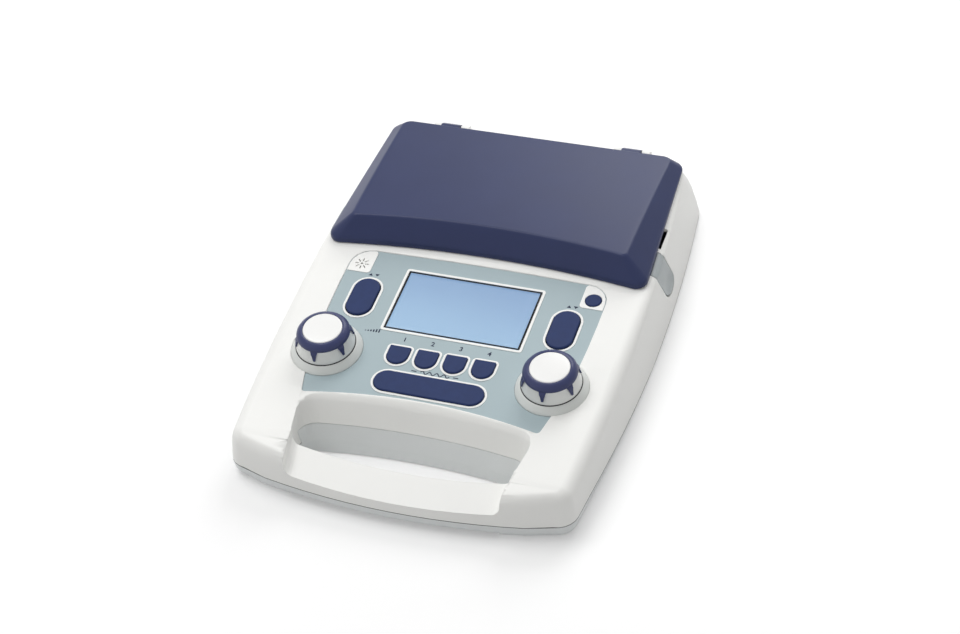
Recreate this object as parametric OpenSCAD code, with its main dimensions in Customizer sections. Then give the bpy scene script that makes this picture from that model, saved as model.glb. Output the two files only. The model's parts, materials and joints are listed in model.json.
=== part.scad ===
// Portable audiometer: a two-part casing with a front carrying handle, a sloping
// control panel and a storage tray under a hinged lid.
// Frame: X right, Y to the rear, Z up. The origin is the middle of the footprint
// at the height of the surface that the feet stand on. Panel features are placed
// in a panel frame: u to the right, v up the slope and w out of the panel.

/* [Casing] */
// Overall width of the casing at its widest point
body_w = 250.8; // [242:0.2:260]
// Overall depth of the casing
body_l = 363; // [358:1:376]
// How far each long side bows in, 100 mm from its widest point
side_bow = 3.4; // [2:0.1:4.5]
// Place of the widest point, from the middle of the depth
widest_y = -8; // [-20:1:10]
// How far the front edge bows back, 100 mm from its middle
front_bow = 10.4; // [8:0.2:12]
// How far the rear edge bows in, 100 mm from its middle
rear_bow = 3; // [1:0.5:5]
// Plan radius of the front corners
front_corner_r = 14; // [13.5:0.5:18]
// Plan radius of the rear corners
rear_corner_r = 17; // [16.5:0.5:22]
// Wall thickness of both casing halves
wall = 2.6; // [2.2:0.1:3]
// Thickness of the top wall
top_wall = 3.2; // [3:0.1:3.6]
// Draft of the side walls, in degrees
side_draft = 7.4; // [6:0.1:8]
// Draft of the front wall, in degrees
front_draft = 9; // [6:0.5:12]
// Width of the rounding along the top side edges
edge_r = 8; // [7:0.5:8.5]
// Width of the rounding along the top front edges
front_edge_r = 5.5; // [4:0.5:6.5]
// Fall of the edge rounding along the front rails
front_drop = 8; // [6.5:0.5:9]
// Fall of the edge rounding beside the lid
rear_drop = 4.2; // [3.8:0.2:6]
// How far the rear wall leans forward by the height of the rim
rear_lean = 34; // [30:1:36]
// Height of the parting line along the front
seam_front = 10.4; // [9.5:0.2:12]
// Height of the parting line along the rear half
seam_rear = 2.4; // [2.2:0.1:3.2]
// Gap between the casing halves at the parting line
seam_gap = 0.35; // [0.3:0.05:0.5]
// Height of the underside above the standing surface
under_z = 0.8; // [0.6:0.1:1.2]
// Thickness of the floor of the lower half
floor_t = 2.4; // [2:0.1:3]

/* [Panel] */
// Slope of the control panel, in degrees
panel_tilt = 5; // [4:0.25:6]
// Height of the screen centre
screen_z = 45.4; // [44:0.2:48]
// Distance from the front edge back to the screen centre
screen_back = 157; // [155:0.5:160]
// How far the white casing stands above the panel
rim_proud = 0.8; // [0.5:0.1:1]
// How far the rear deck crowns down, 100 mm behind the screen centre
deck_crown = 0.8; // [0.4:0.1:1]
// Half width of the panel at its upper corners
panel_half_w = 92.3; // [91.5:0.1:94]
// Height of the panel above the screen centre, at its middle
panel_up = 42; // [41:0.2:43]
// Depth of the panel below the screen centre, at its middle
panel_down = 84.5; // [83.5:0.1:85]
// Radius of the upper panel corners
panel_corner_r = 15; // [12:0.5:18]
// Thickness of the coloured overlay
overlay_t = 1; // [0.8:0.1:1.2]
// Thickness of the white carrier under the overlay
carrier_t = 2.4; // [2:0.1:2.6]
// How far the white surrounds stand out of the overlay
surround_proud = 0.35; // [0.2:0.05:0.6]
// Width of the white line around each key
surround_w = 1.5; // [1.2:0.1:1.8]

/* [Screen] */
// Width of the lit area of the display
screen_w = 95; // [92:0.5:96]
// Height of the lit area of the display
screen_h = 53.9; // [51:0.1:54.5]
// Width of the white frame around the lens
bezel_w = 1.5; // [1.2:0.1:2]
// Width of the display module
display_w = 105.5; // [104:0.5:106.5]
// Height of the display module
display_h = 62; // [60:0.5:63]
// Thickness of the display module
display_t = 2.9; // [2.5:0.1:3.3]

/* [Keys] */
// Clearance around each key in its opening
key_gap = 0.35; // [0.25:0.05:0.45]
// How far the keys stand out of the panel
key_proud = 1.6; // [1.2:0.1:2]
// Travel of the function keys and the power button
key_travel = 0.8; // [0.5:0.1:1]
// Travel of the tone bar
bar_travel = 1; // [0.6:0.1:1.1]
// Width of a function key
fkey_w = 14.8; // [13.5:0.1:15]
// Length of a function key
fkey_l = 15.3; // [14.5:0.1:16]
// Spacing of the function keys
fkey_pitch = 19.8; // [19.4:0.1:20.2]
// Height of the function key row, at the flat upper edges
fkey_v = -41.5; // [-42:0.1:-41.2]
// Length of the tone bar
bar_l = 76; // [70:0.5:80]
// Width of the tone bar
bar_w = 17.4; // [15:0.2:18]
// Height of the tone bar's middle
bar_v = -72.2; // [-72.6:0.1:-71.6]
// Length of a rocker key
rocker_l = 34; // [31:0.5:35]
// Width of a rocker key
rocker_w = 18; // [16:0.2:18.6]
// Distance of the rockers from the middle
rocker_u = 71.2; // [70.8:0.1:72]
// Height of the rockers' middle
rocker_v = -3.5; // [-5:0.1:-2.5]
// Swing of a rocker to each side, in degrees
rocker_swing = 2.5; // [1:0.1:3]
// Radius of the power button
power_r = 5.6; // [5:0.1:6]
// Radius of a rocker's pivot pin
rocker_pin_r = 1; // [0.8:0.05:1.2]

/* [Dials] */
// Distance of the dials from the middle
dial_u = 78.6; // [78:0.1:79.5]
// Height of the dial centres, below the screen centre
dial_v = -53.5; // [-54:0.1:-52.5]
// Radius of a dial at its base
dial_r = 19.9; // [18.5:0.1:20.5]
// Radius of the grip ring
grip_r = 17.4; // [16.8:0.1:17.8]
// Radius of the white cap on a dial
cap_r = 13.3; // [12.5:0.1:14]
// Height of a dial's face above the panel
dial_h = 20.1; // [18.5:0.1:21]
// Height of the raised collar under a dial
collar_h = 5.1; // [4:0.1:5.6]
// Width of the collar beyond the dial's base
collar_w = 4.4; // [3.5:0.1:5]
// Number of prongs on a grip ring
prong_count = 6; // [5:1:8]
// Radius of a dial shaft
shaft_r = 3; // [2.5:0.1:3.2]
// Running clearance between a shaft or pin and its bore
run_gap = 0.05; // [0.03:0.01:0.08]

/* [Handle] */
// Half width of the hand opening at the back
hole_back_half_w = 81.4; // [79:0.2:82]
// Half width of the hand opening at the bar
hole_front_half_w = 75.5; // [73:0.5:77]
// Distance of the opening's back edge in front of the screen centre
hole_back = 91; // [90.5:0.1:92.5]
// Distance of the bar's rear edge in front of the screen centre
bar_rear = 135; // [133:0.5:136]
// How far the opening's back wall leans forward towards the table
hole_lean = 14; // [8:0.5:16]
// Height of the bar at its rear edge
bar_top_z = 24.6; // [23:0.2:26]
// Fall of the bar's top towards the front, in degrees
bar_fall = 18; // [14:0.5:20]

/* [Lid] */
// Half width of the lid's base at the front
lid_front_half_w = 115.2; // [114:0.2:115.6]
// Half width of the lid's base at the rear
lid_rear_half_w = 109.2; // [108:0.2:109.8]
// Distance of the lid's front edge behind the screen centre, at the middle
lid_front = 49.6; // [48.5:0.1:50.5]
// Distance of the lid's rear edge behind the screen centre
lid_rear = 171; // [170:0.2:171.6]
// How far the lid's front edge bows, at its corners
lid_bow = 8.5; // [6:0.5:10]
// Half width of the deck at the front
deck_front_half_w = 98; // [96:0.5:100]
// Half width of the deck at the rear
deck_rear_half_w = 100.5; // [99:0.5:102]
// Set-back of the deck's front edge from the lid's
deck_back = 13; // [10:0.5:15]
// Height of the deck above the table, at its front edge
deck_z = 68.3; // [66:0.1:71]
// Wall thickness of the lid
lid_wall = 2.4; // [2:0.1:2.8]
// Gap between the lid and the rim
lid_gap = 0.4; // [0.3:0.05:0.6]

/* [Storage tray] */
// Width of the tray inside
tray_w = 196; // [180:1:200]
// Depth of the tray inside, front to rear
tray_l = 92; // [84:1:96]
// Height of the tray inside
tray_h = 36; // [30:0.5:38]
// Wall of the tray
tray_wall = 2; // [1.6:0.1:2.4]
// Width of the tray's flange
tray_flange = 4; // [3:0.1:4.5]

/* [Latches] */
// Distance of the latches behind the screen centre, at the rim
latch_y = 69.5; // [68:0.5:71]
// Width of a latch at the rim
latch_w = 22; // [20:0.5:23]
// Height of a latch below the rim
latch_h = 37; // [34:0.5:38]
// How far the lower end of a latch lies behind its upper end
latch_lean = 17; // [12:0.5:19]
// Thickness of a latch
latch_t = 2.6; // [2.2:0.1:3]
// Swing of a latch, in degrees
latch_swing = 7; // [4:0.5:8]
// Radius of a latch pin
latch_pin_r = 1.5; // [1.3:0.1:1.7]

/* [Rear sockets] */
// Width of the socket recess
socket_bay_w = 118; // [112:1:124]
// Height of the socket recess
socket_bay_h = 24; // [22:0.5:25]
// Spacing of the sockets
socket_pitch = 17; // [16.5:0.1:18]
// Number of round sockets
socket_count = 5; // [3:1:5]

/* [Feet and screws] */
// Radius of a rubber foot
foot_r = 8; // [7:0.1:9]
// Distance of the feet from the middle
foot_x = 92; // [88:0.5:95]
// Radius of a casing screw
screw_r = 1.5; // [1.3:0.1:1.7]

/* [Hidden] */

fine = 64;   // facets of a plain circle
eps = 0.01;  // overlap that makes a cut clean
slip = 0.3;  // clearance of a part that drops into a recess

screen_y = -body_l/2 + screen_back;
half_l = body_l/2;

// ---------- small helpers ----------
function lerp(a, b, t) = a + (b - a)*t;
function clamp01(t) = min(1, max(0, t));
function unit(p) = p/norm(p);
function mirrored(half) = concat(half, [for (i = [len(half) - 2:-1:1]) [-half[i].x, half[i].y]]);

// Arc of n steps that rounds the corner at p, between the directions of a and b
function corner(a, p, b, r, n) =
    let (e1 = unit(a - p), e2 = unit(b - p), half_turn = acos(e1*e2)/2,
        reach = r/tan(half_turn), mid = p + unit(e1 + e2)*r/sin(half_turn),
        s = p + e1*reach - mid, f = p + e2*reach - mid,
        a0 = atan2(s.y, s.x), turn = atan2(f.y, f.x) - a0,
        sweep = turn > 180 ? turn - 360 : turn < -180 ? turn + 360 : turn)
    [for (i = [0:n]) mid + r*[cos(a0 + sweep*i/n), sin(a0 + sweep*i/n)]];

// Outward normals of a closed ring that runs anticlockwise
function normals(ring) = let (m = len(ring))
    [for (i = [0:m - 1]) let (d = unit(ring[(i + 1)%m] - ring[(i + m - 1)%m])) [d.y, -d.x]];

// ---------- polyhedra from rings ----------
// Rings all have m points, run anticlockwise from the middle of the front edge and climb.
function wall_faces(m, r0, rings, flip) = [for (k = [0:rings - 2], i = [0:m - 1])
    let (a = (r0 + k)*m + i, b = (r0 + k)*m + (i + 1)%m, c = b + m, d = a + m)
    each flip ? [[a, b, c], [a, c, d]] : [[a, d, c], [a, c, b]]];
// Flat or singly curved cap: strips that join each point to its mirror image
function strip_cap(m, r0, flip) = [for (i = [0:m/2 - 1])
    let (o = r0*m, ra = o + i, rb = o + i + 1, lb = o + (m - i - 1)%m, la = o + (m - i)%m)
    each flip ? (i == 0 ? [[ra, rb, lb]] : i == m/2 - 1 ? [[la, ra, rb]] : [[la, ra, rb], [la, rb, lb]])
    : (i == 0 ? [[ra, lb, rb]] : i == m/2 - 1 ? [[la, rb, ra]] : [[la, rb, ra], [la, lb, rb]])];
module solid_rings(rings) {
    m = len(rings[0]);
    polyhedron(points = [for (r = rings) each r],
        faces = concat(strip_cap(m, 0, true), wall_faces(m, 0, len(rings), false),
            strip_cap(m, len(rings) - 1, false)), convexity = 8);
}
// A shell that is open below: outer and inner rings climb, each with its own cap
module shell_rings(outer, inner) {
    m = len(outer[0]);
    n = len(outer);
    polyhedron(points = [for (r = concat(outer, inner)) each r],
        faces = concat(wall_faces(m, 0, n, false), strip_cap(m, n - 1, false),
            wall_faces(m, n, len(inner), true), strip_cap(m, n + len(inner) - 1, true),
            [for (i = [0:m - 1]) let (j = (i + 1)%m) each [[i, j, n*m + j], [i, n*m + j, n*m + i]]]),
        convexity = 8);
}

// ---------- outline and surfaces of the casing ----------
function half_w(y) = body_w/2 - side_bow*pow((y - widest_y)/100, 2);
function front_y(x) = -half_l + front_bow*pow(x/100, 2);
function rear_y(x) = half_l - rear_bow*pow(x/100, 2);
front_corner = let (x1 = half_w(-half_l), y1 = front_y(x1), x2 = half_w(y1)) [x2, front_y(x2)];
rear_corner = let (x1 = half_w(half_l), y1 = rear_y(x1), x2 = half_w(y1)) [x2, rear_y(x2)];
front_steps = 7;
side_steps = 15;
corner_steps = 5;
side_y0 = front_corner.y + front_corner_r;
side_y1 = rear_corner.y - rear_corner_r;
casing_half = concat(
    [for (i = [0:front_steps - 1]) let (x = (front_corner.x - front_corner_r)*i/front_steps) [x, front_y(x)]],
    corner([0, front_y(0) + 0.4*(front_corner.y - front_y(0))], front_corner, [half_w(side_y0), side_y0],
        front_corner_r, corner_steps),
    [for (i = [1:side_steps]) let (y = lerp(side_y0, side_y1, i/(side_steps + 1))) [half_w(y), y]],
    corner([half_w(side_y1), side_y1], rear_corner, [0, rear_y(0) - 0.4*(rear_y(0) - rear_corner.y)],
        rear_corner_r, corner_steps),
    [for (i = [1:front_steps]) let (x = (rear_corner.x - rear_corner_r)*(1 - i/front_steps)) [x, rear_y(x)]]);
casing_ring = mirrored(casing_half);
casing_normals = normals(casing_ring);

// Height of the parting line, of the top surface and of the crease below the rounded edge
function seam_z(y) = lerp(seam_front, seam_rear, clamp01((y - screen_y + 110)/130));
function top_z(y) = screen_z + rim_proud + (y - screen_y)*tan(panel_tilt)
    - deck_crown*pow(max(0, y - screen_y)/100, 2);
function edge_drop(y) = lerp(front_drop, rear_drop, clamp01((y - screen_y + 30)/70));
// How far the rear wall has leaned forward at height z
rim_rear_z = top_z(half_l - rear_lean);
function lean(z) = let (s = max(0, z)/rim_rear_z) rear_lean*(0.32*s + 0.68*s*s);

// One ring of the casing's skin. f climbs the flank from 0 to 1, turn then goes over the
// rounded edge from 0 to 90 degrees, t is the depth of this skin below the outer one.
function skin_ring(f, turn, t = 0, top_t = 0, base = seam_gap/2) =
    let (z_ref = lerp(seam_rear, top_z(half_l - rear_lean) - rear_drop, f) + (rear_drop - top_t)*sin(turn),
        shift = lean(z_ref) + t + 2*(1 - cos(turn)))
    [for (i = [0:len(casing_ring) - 1])
        let (p = casing_ring[i], n = casing_normals[i],
            y = p.y - shift*clamp01((p.y - screen_y)/(side_y1 - screen_y)),
            x = p.x*half_w(y)/half_w(p.y),
            low = seam_z(y) + base, crease = top_z(y) - edge_drop(y),
            z = lerp(low, crease, f) + (edge_drop(y) - top_t)*sin(turn),
            side_in = (z - low)*tan(side_draft) + t + (edge_r - t)*(1 - cos(turn)),
            front_in = (z - low)*tan(front_draft) + t + (front_edge_r - t)*(1 - cos(turn)))
        [x - n.x*side_in, y - (n.y < 0 ? n.y*front_in : 0), z]];
flank = [0, 0.25, 0.5, 0.75, 1];
outer_skin = concat([for (f = flank) skin_ring(f, 0)], [for (a = [22.5:22.5:90]) skin_ring(1, a)]);
inner_skin = concat([for (f = [0, 0.35, 0.7, 1]) skin_ring(f, 0, wall, top_wall)],
    [for (a = [30:30:90]) skin_ring(1, a, wall, top_wall)]);

// ---------- hand opening ----------
hole_bar_r = 8;
hole_back_r = 12;
function hole_ring(z, grow = 0) =
    let (lip = hole_back - 6*pow(clamp01((z - 31.5)/7.5), 2),
        back = -lip - hole_lean*clamp01((34 - z)/34) + grow + screen_y,
        low = clamp01((12 - z)/12),
        bar = -bar_rear + 3*low - grow + screen_y,
        bow = front_bow*pow(hole_front_half_w/100, 2),
        wide = hole_back_half_w + grow - 2*clamp01((20 - z)/20),
        narrow = hole_front_half_w + grow - 2*clamp01((20 - z)/20),
        a = [narrow, bar + bow], b = [wide, back - bow],
        half = concat([for (i = [0:3]) [(narrow - 16)*i/4, bar + front_bow*pow((narrow - 16)*i/400, 2)]],
            corner([0, bar], a, b, hole_bar_r - 3*low, 4),
            corner(a, b, [0, back], hole_back_r - 5*low, 4),
            [for (i = [4:-1:0]) [(wide - 20)*i/5, back - front_bow*pow((wide - 20)*i/500, 2)]]))
    [for (p = mirrored(half)) [p.x, p.y, z]];
hole_levels = [-5, 8, 20, 34, 36, 37.5, 39, 60];
module hand_hole() { solid_rings([for (z = hole_levels) hole_ring(z)]); }
// ---------- control panel outlines (u, v) ----------
function panel_side(v) = panel_half_w - 10.7*pow(max(0, 35 - v)/128, 3);
function panel_half(d) =
    let (low_u = panel_side(-93.3) - d, top_u = panel_half_w - d, top_v = panel_up - 1.5 - d,
        low_v = -panel_down - 9 + d)
    concat([for (i = [0:5]) let (u = low_u*i/6) [u, -panel_down + d - 9*pow(u/81.5, 2)]],
        corner([low_u*5/6, -panel_down + d - 6], [low_u, low_v], [panel_side(-60) - d, -60], 2.5, 3),
        [for (v = [-75, -55, -35, -15, 5]) [panel_side(v) - d, v]],
        corner([panel_side(5) - d, 5], [top_u, top_v], [60, top_v + 0.6], panel_corner_r - d, 5),
        [for (u = [60, 40, 20, 0]) [u, panel_up - d - 1.5*pow(u/75, 2)]]);
module panel_shape(d) { polygon(mirrored(panel_half(d))); }
module on_panel() { translate([0, screen_y, screen_z]) rotate([panel_tilt, 0, 0]) children(); }
module plate(w0, w1) { translate([0, 0, w0]) linear_extrude(w1 - w0) children(); }

module pill(l, w, upright = false) {
    rotate(upright ? 90 : 0) {
        square([l - w, w], center = true);
        for (s = [-1, 1]) translate([s*(l - w)/2, 0]) circle(d = w, $fn = fine);
    }
}
module round_rect(w, h, r) {
    square([w - 2*r, h], center = true);
    square([w, h - 2*r], center = true);
    for (x = [-1, 1], y = [-1, 1]) translate([x*(w/2 - r), y*(h/2 - r)]) circle(r, $fn = 32);
}
// Function key: flat upper edge, round lower end, grown by g
module dee(g = 0) {
    r = fkey_w/2 + g;
    c = 1.5 + g;
    up = fkey_l - fkey_w/2 + g;
    translate([0, -fkey_l + fkey_w/2]) {
        circle(r, $fn = fine);
        translate([-r, 0]) square([2*r, up - c]);
        translate([-r + c, 0]) square([2*r - 2*c, up]);
        for (s = [-1, 1]) translate([s*(r - c), up - c]) circle(c, $fn = 32);
    }
}
module at_fkey(i) { translate([(i - 2.5)*fkey_pitch, fkey_v, 0]) children(); }
module at_rocker(s) { translate([s*rocker_u, rocker_v, 0]) children(); }
module at_dial(s) { translate([s*dial_u, dial_v, 0]) children(); }
module at_power() { translate([83.3, 27, 0]) children(); }
module at_mic() { translate([-83.3, 27, 0]) children(); }
carrier_inset = 1.2;
land_inset = 0.6;
lens_w = screen_w + 1;
lens_h = screen_h + 0.6;
bezel_out_w = lens_w + 2*bezel_w + 2*slip;
bezel_out_h = lens_h + 2*bezel_w + 2*slip;

// Everything of the white carrier that shows through the overlay, grown by g
module surrounds(g = 0) {
    for (i = [1:4]) at_fkey(i) dee(key_gap + surround_w + g);
    translate([0, bar_v]) pill(bar_l + 2*(key_gap + surround_w + g), bar_w + 2*(key_gap + surround_w + g));
    for (s = [-1, 1]) at_rocker(s)
        pill(rocker_l + 2*(rocker_gap + surround_w + g), rocker_w + 2*(rocker_gap + surround_w + g), true);
    round_rect(bezel_out_w + 2*g, bezel_out_h + 2*g, 2);
    for (s = [-1, 1]) intersection() {
        panel_shape(land_inset - g);
        translate([s*84.6, 29.8]) round_rect(18.8 + 2*g, 21 + 2*g, 2.5);
    }
}
rocker_gap = key_gap + 8*sin(rocker_swing);  // its ends move along the panel as it tilts
module key_openings() {
    for (i = [1:4]) at_fkey(i) dee(key_gap);
    translate([0, bar_v]) pill(bar_l + 2*key_gap, bar_w + 2*key_gap);
    for (s = [-1, 1]) at_rocker(s) pill(rocker_l + 2*rocker_gap, rocker_w + 2*rocker_gap, true);
    at_power() circle(power_r + key_gap, $fn = fine);
}
overlay_w = -overlay_t;
carrier_w = overlay_w - carrier_t;
board_w = -12;
board_t = 1.6;
collar_r = dial_r + collar_w;

// ---------- upper casing ----------
tray_y = lerp(lid_front, lid_rear, 0.5) + screen_y;
tray_reach = tray_l/2 + tray_wall;
tray_tilt = atan((top_z(tray_y + tray_reach) - top_z(tray_y - tray_reach))/(2*tray_reach));
tray_lip_w = -0.7;
tray_lip_t = 1.3;
module on_tray() { translate([0, tray_y, top_z(tray_y)]) rotate([tray_tilt, 0, 0]) children(); }
module tray_shape(g) { round_rect(tray_w + 2*g, tray_l + 2*g, 12 + g); }

boss_r = 3.8;
boss_z = 12;
boss_xy = [[100, -127], [107, -18], [92.5, 166.5]];
module at_bosses(i = [0:2]) {
    for (s = [-1, 1], k = i) translate([s*boss_xy[k].x, boss_xy[k].y + screen_y, 0]) children();
}
notch_r = 5;
function bar_z(y) = bar_top_z + tan(bar_fall)*(y - screen_y + bar_rear);
function rail_x(y) = lerp(hole_front_half_w, hole_back_half_w, (y - screen_y + bar_rear - 6)/(bar_rear - hole_back));
// Notch over the bar, between the rails. Grown by the wall it is what lines the notch.
module handle_notch(grow = 0) {
    hull() for (s = [-1, 1], y = [-half_l - 25, screen_y - bar_rear + 8]) {
        translate([s*(rail_x(y) - notch_r), y, bar_z(y) + notch_r]) sphere(notch_r + grow, $fn = 16);
        translate([s*(rail_x(y) + grow) - eps, y, bar_z(y) + 30]) cube([2*eps, eps, 30]);
    }
}

hinge_x = 68.6;
hinge_y = screen_y + lid_rear + 7.5;
hinge_z = top_z(screen_y + lid_rear) - 3.4;
knuckle_r = 4.2;
arm_w = 14;
ear_w = 6;
hinge_bay = [arm_w + 2*ear_w + 2.5, 60, 40];
module at_hinges() { for (s = [-1, 1]) translate([s*hinge_x, hinge_y, hinge_z]) children(); }
module hinge_bays(grow = 0) {
    at_hinges() translate([-hinge_bay.x/2 - grow, -9 - grow, -11 - grow])
        cube([hinge_bay.x + 2*grow, hinge_bay.y, hinge_bay.z]);
}

bay_z = 8;
bay_y = half_l - 21;
bay_wall = 3;
module socket_bay(grow = 0, deep = 0) {
    translate([-socket_bay_w/2 - grow, bay_y - deep, bay_z - grow])
        cube([socket_bay_w + 2*grow, 60, socket_bay_h + 2*grow]);
}

// Latch: a slab that follows the flank from over the rounded edge down to its lower tip
latch_rim_y = screen_y + latch_y;
latch_steps = 8;
latch_tip = 0.7;
latch_dip = 4.2*sin(latch_swing);  // room for the lower tip, which dips as it swings in
latch_levels = [-62, -40, -20, 0, 0.12, 0.24, 0.36, 0.48, 0.6, latch_tip, 0.8, 0.88, 0.94, 0.98, 1];
function latch_pt(a, b, t, top_t, grow) =
    let (s = max(0, a), turn = max(0, -a),
        tip = a > latch_tip ? sqrt(max(0, 1 - pow((a - latch_tip)/(1 - latch_tip), 2))) : 1,
        y = latch_rim_y + latch_lean*s + (latch_w/2*max(tip, 0.12) + grow)*(2*b - 1),
        low = seam_z(y) + seam_gap/2, crease = top_z(y) - edge_drop(y),
        z = crease - s*(latch_h - rear_drop + (grow > 0 ? grow + latch_dip : 0))
            + max(edge_drop(y) - top_t, 0.3)*sin(turn))
    [half_w(y) - (z - low)*tan(side_draft) - t - max(edge_r - t, 0)*(1 - cos(turn)), y, z];
function dimple(a, b) = 1.3*max(0, 1 - pow((a - 0.66)/0.27, 2))*(1 - pow(2*b - 1, 2));
module latch_slab(grow, out, deep) {
    levels = grow > 0 ? concat([-78, -51, -29, -11], [for (i = [3:len(latch_levels) - 1])
        latch_levels[i] + (i < 9 ? 0.043 : 0)]) : latch_levels;
    n = latch_steps + 1;
    count = len(levels)*n;
    steps = [for (a = levels, j = [0:latch_steps]) [a, j/latch_steps]];
    rim = concat([for (j = [0:latch_steps]) j], [for (i = [1:len(levels) - 1]) i*n + latch_steps],
        [for (j = [latch_steps - 1:-1:0]) (len(levels) - 1)*n + j], [for (i = [len(levels) - 2:-1:1]) i*n]);
    polyhedron(points = concat(
            [for (p = steps) latch_pt(p.x, p.y, out + (grow > 0 ? 0 : dimple(p.x, p.y)), out, grow)],
            [for (p = steps) latch_pt(p.x, p.y, deep, deep, grow)]),
        faces = concat([for (i = [0:len(levels) - 2], j = [0:latch_steps - 1])
                let (a = i*n + j, b = a + 1, c = b + n, d = a + n)
                each [[a, b, c], [a, c, d], [count + a, count + c, count + b], [count + a, count + d, count + c]]],
            [for (i = [0:len(rim) - 1]) let (a = rim[i], b = rim[(i + 1)%len(rim)])
                each [[a, count + a, count + b], [a, count + b, b]]]), convexity = 6);
}
module both_sides() { for (s = [0, 1]) mirror([s, 0, 0]) children(); }

latch_pin_y = latch_rim_y + 0.42*latch_lean;
latch_pin_z = top_z(latch_rim_y) - 0.52*latch_h;
latch_pin_x = half_w(latch_pin_y) - (latch_pin_z - seam_rear)*tan(side_draft) - latch_t - 4.2;
latch_ear = 3;
latch_bracket_l = 38;
function inner_x(y, z) = half_w(y) - (z - seam_rear)*tan(side_draft) - wall;
latch_boss_l = 13;

// Wall round the hand opening: the half above the seam (0) or below it (1)
hole_seam_z = 20;
hole_step_y = screen_y - bar_rear + 22;
module hole_column(low) {
    intersection() {
        solid_rings([for (z = [-5, 8, 21, 34, 50]) hole_ring(z, wall)]);
        for (back = [0, 1]) {
            split = back ? hole_seam_z : seam_z(-half_l);
            y0 = back ? hole_step_y + (low ? seam_gap/2 : -seam_gap/2) : -half_l - 10;
            y1 = back ? 0 : hole_step_y + (low ? 1 : -seam_gap/2);
            translate([-150, y0, low ? under_z : split + seam_gap/2])
                cube([300, y1 - y0, low ? split - seam_gap/2 - under_z : 60]);
        }
    }
}

// Casing skin with the solid pockets that hold the hinges and the sockets
module upper_skin() {
    shell_rings(outer_skin, inner_skin);
    intersection() {
        solid_rings(outer_skin);
        union() {
            hole_column(0);
            handle_notch(wall);
            socket_bay(2, bay_wall);
            hinge_bays(2);
        }
    }
    for (i = [0:2]) at_bosses([i]) translate([0, 0, boss_z])
        cylinder(r = boss_r, h = top_z(boss_xy[i].y + screen_y) - 1.5 - boss_z, $fn = 24);
}
module upper_casing() color([0.96, 0.96, 0.94]) resize([body_w, 0, 0]) difference() {
    upper_skin();
    hand_hole();
    handle_notch();
    socket_bay();
    translate([-socket_bay_w/2 + 4, bay_y - 10, bay_z + 3]) cube([socket_bay_w - 8, 20, socket_bay_h - 6]);
    hinge_bays();
    both_sides() latch_slab(0.5, -3, 9);
    both_sides() translate([rail_slot_x - 1.2, latch_rim_y + latch_w/2 + 4, top_z(latch_rim_y) - 3])
        cube([3.2, cable_slot_l, 12]);
    at_bosses() translate([0, 0, boss_z - 1]) cylinder(r = (screw_r + 0.03)/cos(180/24), h = 15, $fn = 24);
    on_panel() {
        plate(overlay_w, 20) panel_shape(-slip/2);
        plate(-9, 20) panel_shape(land_inset - slip);
        for (s = [-1, 1]) at_dial(s) plate(overlay_w, 20) circle(collar_r + slip, $fn = 48);
    }
    on_tray() {
        plate(tray_lip_w - tray_lip_t - 0.02, 20) tray_shape(tray_wall + tray_flange + slip);
        plate(-20, 20) tray_shape(tray_wall + slip);
    }
}
rail_slot_x = lerp(lid_front_half_w, lid_rear_half_w, 0.45);
cable_slot_l = 20;

// ---------- lower casing ----------
lip_in = wall + 0.25;
lip_t = 1.5;
floor_z = under_z + floor_t;
function pan_ring(lean, side_in, z_of) = [for (i = [0:len(casing_ring) - 1])
    let (p = casing_ring[i], n = casing_normals[i], d = side_in + lean*(0.8 + clamp01((p.y - 120)/40)))
    [p.x - n.x*d, p.y - n.y*d, z_of[i]]];
pan_seam = [for (p = casing_ring) seam_z(p.y) - seam_gap/2];
pan_lip = [for (p = casing_ring) max(seam_z(p.y), floor_z) + 2.6];
function flat_z(z) = [for (p = casing_ring) z];
function rise(f) = [for (z = pan_seam) lerp(under_z, z, f)];
pan_outer = [pan_ring(0, 3.6, flat_z(under_z)), pan_ring(0, 1.6, rise(0.16)), pan_ring(0, 0.5, rise(0.5)),
    pan_ring(0, 0, rise(1)), pan_ring(0, lip_in + 0.15, rise(1.0001)), pan_ring(1, lip_in, pan_lip)];
pan_inner = [pan_ring(0, lip_in + lip_t + 1.2, flat_z(floor_z)),
    pan_ring(1, lip_in + lip_t, [for (z = pan_lip) z - 1.6]),
    pan_ring(1, lip_in + lip_t, [for (z = pan_lip) z + 1])];
foot_y = [screen_y - 120, screen_y + 150];
pad_half_w = 71.6;
scoop_h = 3.2;
module at_feet() { for (s = [-1, 1], y = foot_y) translate([s*foot_x, y, 0]) children(); }
board_y = screen_y - 30;
board_size = [166, 90, 1.6];
board_z = 9;
module at_board_posts() {
    for (x = [-1, 1], y = [-1, 1])
        translate([x*(board_size.x/2 - 5), board_y + y*(board_size.y/2 - 5), 0]) children();
}
module scoop(grow, z1) {
    translate([-pad_half_w - grow, -half_l - 5, -1]) cube([2*(pad_half_w + grow), 5 + scoop_l + grow, 1 + z1]);
}
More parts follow.
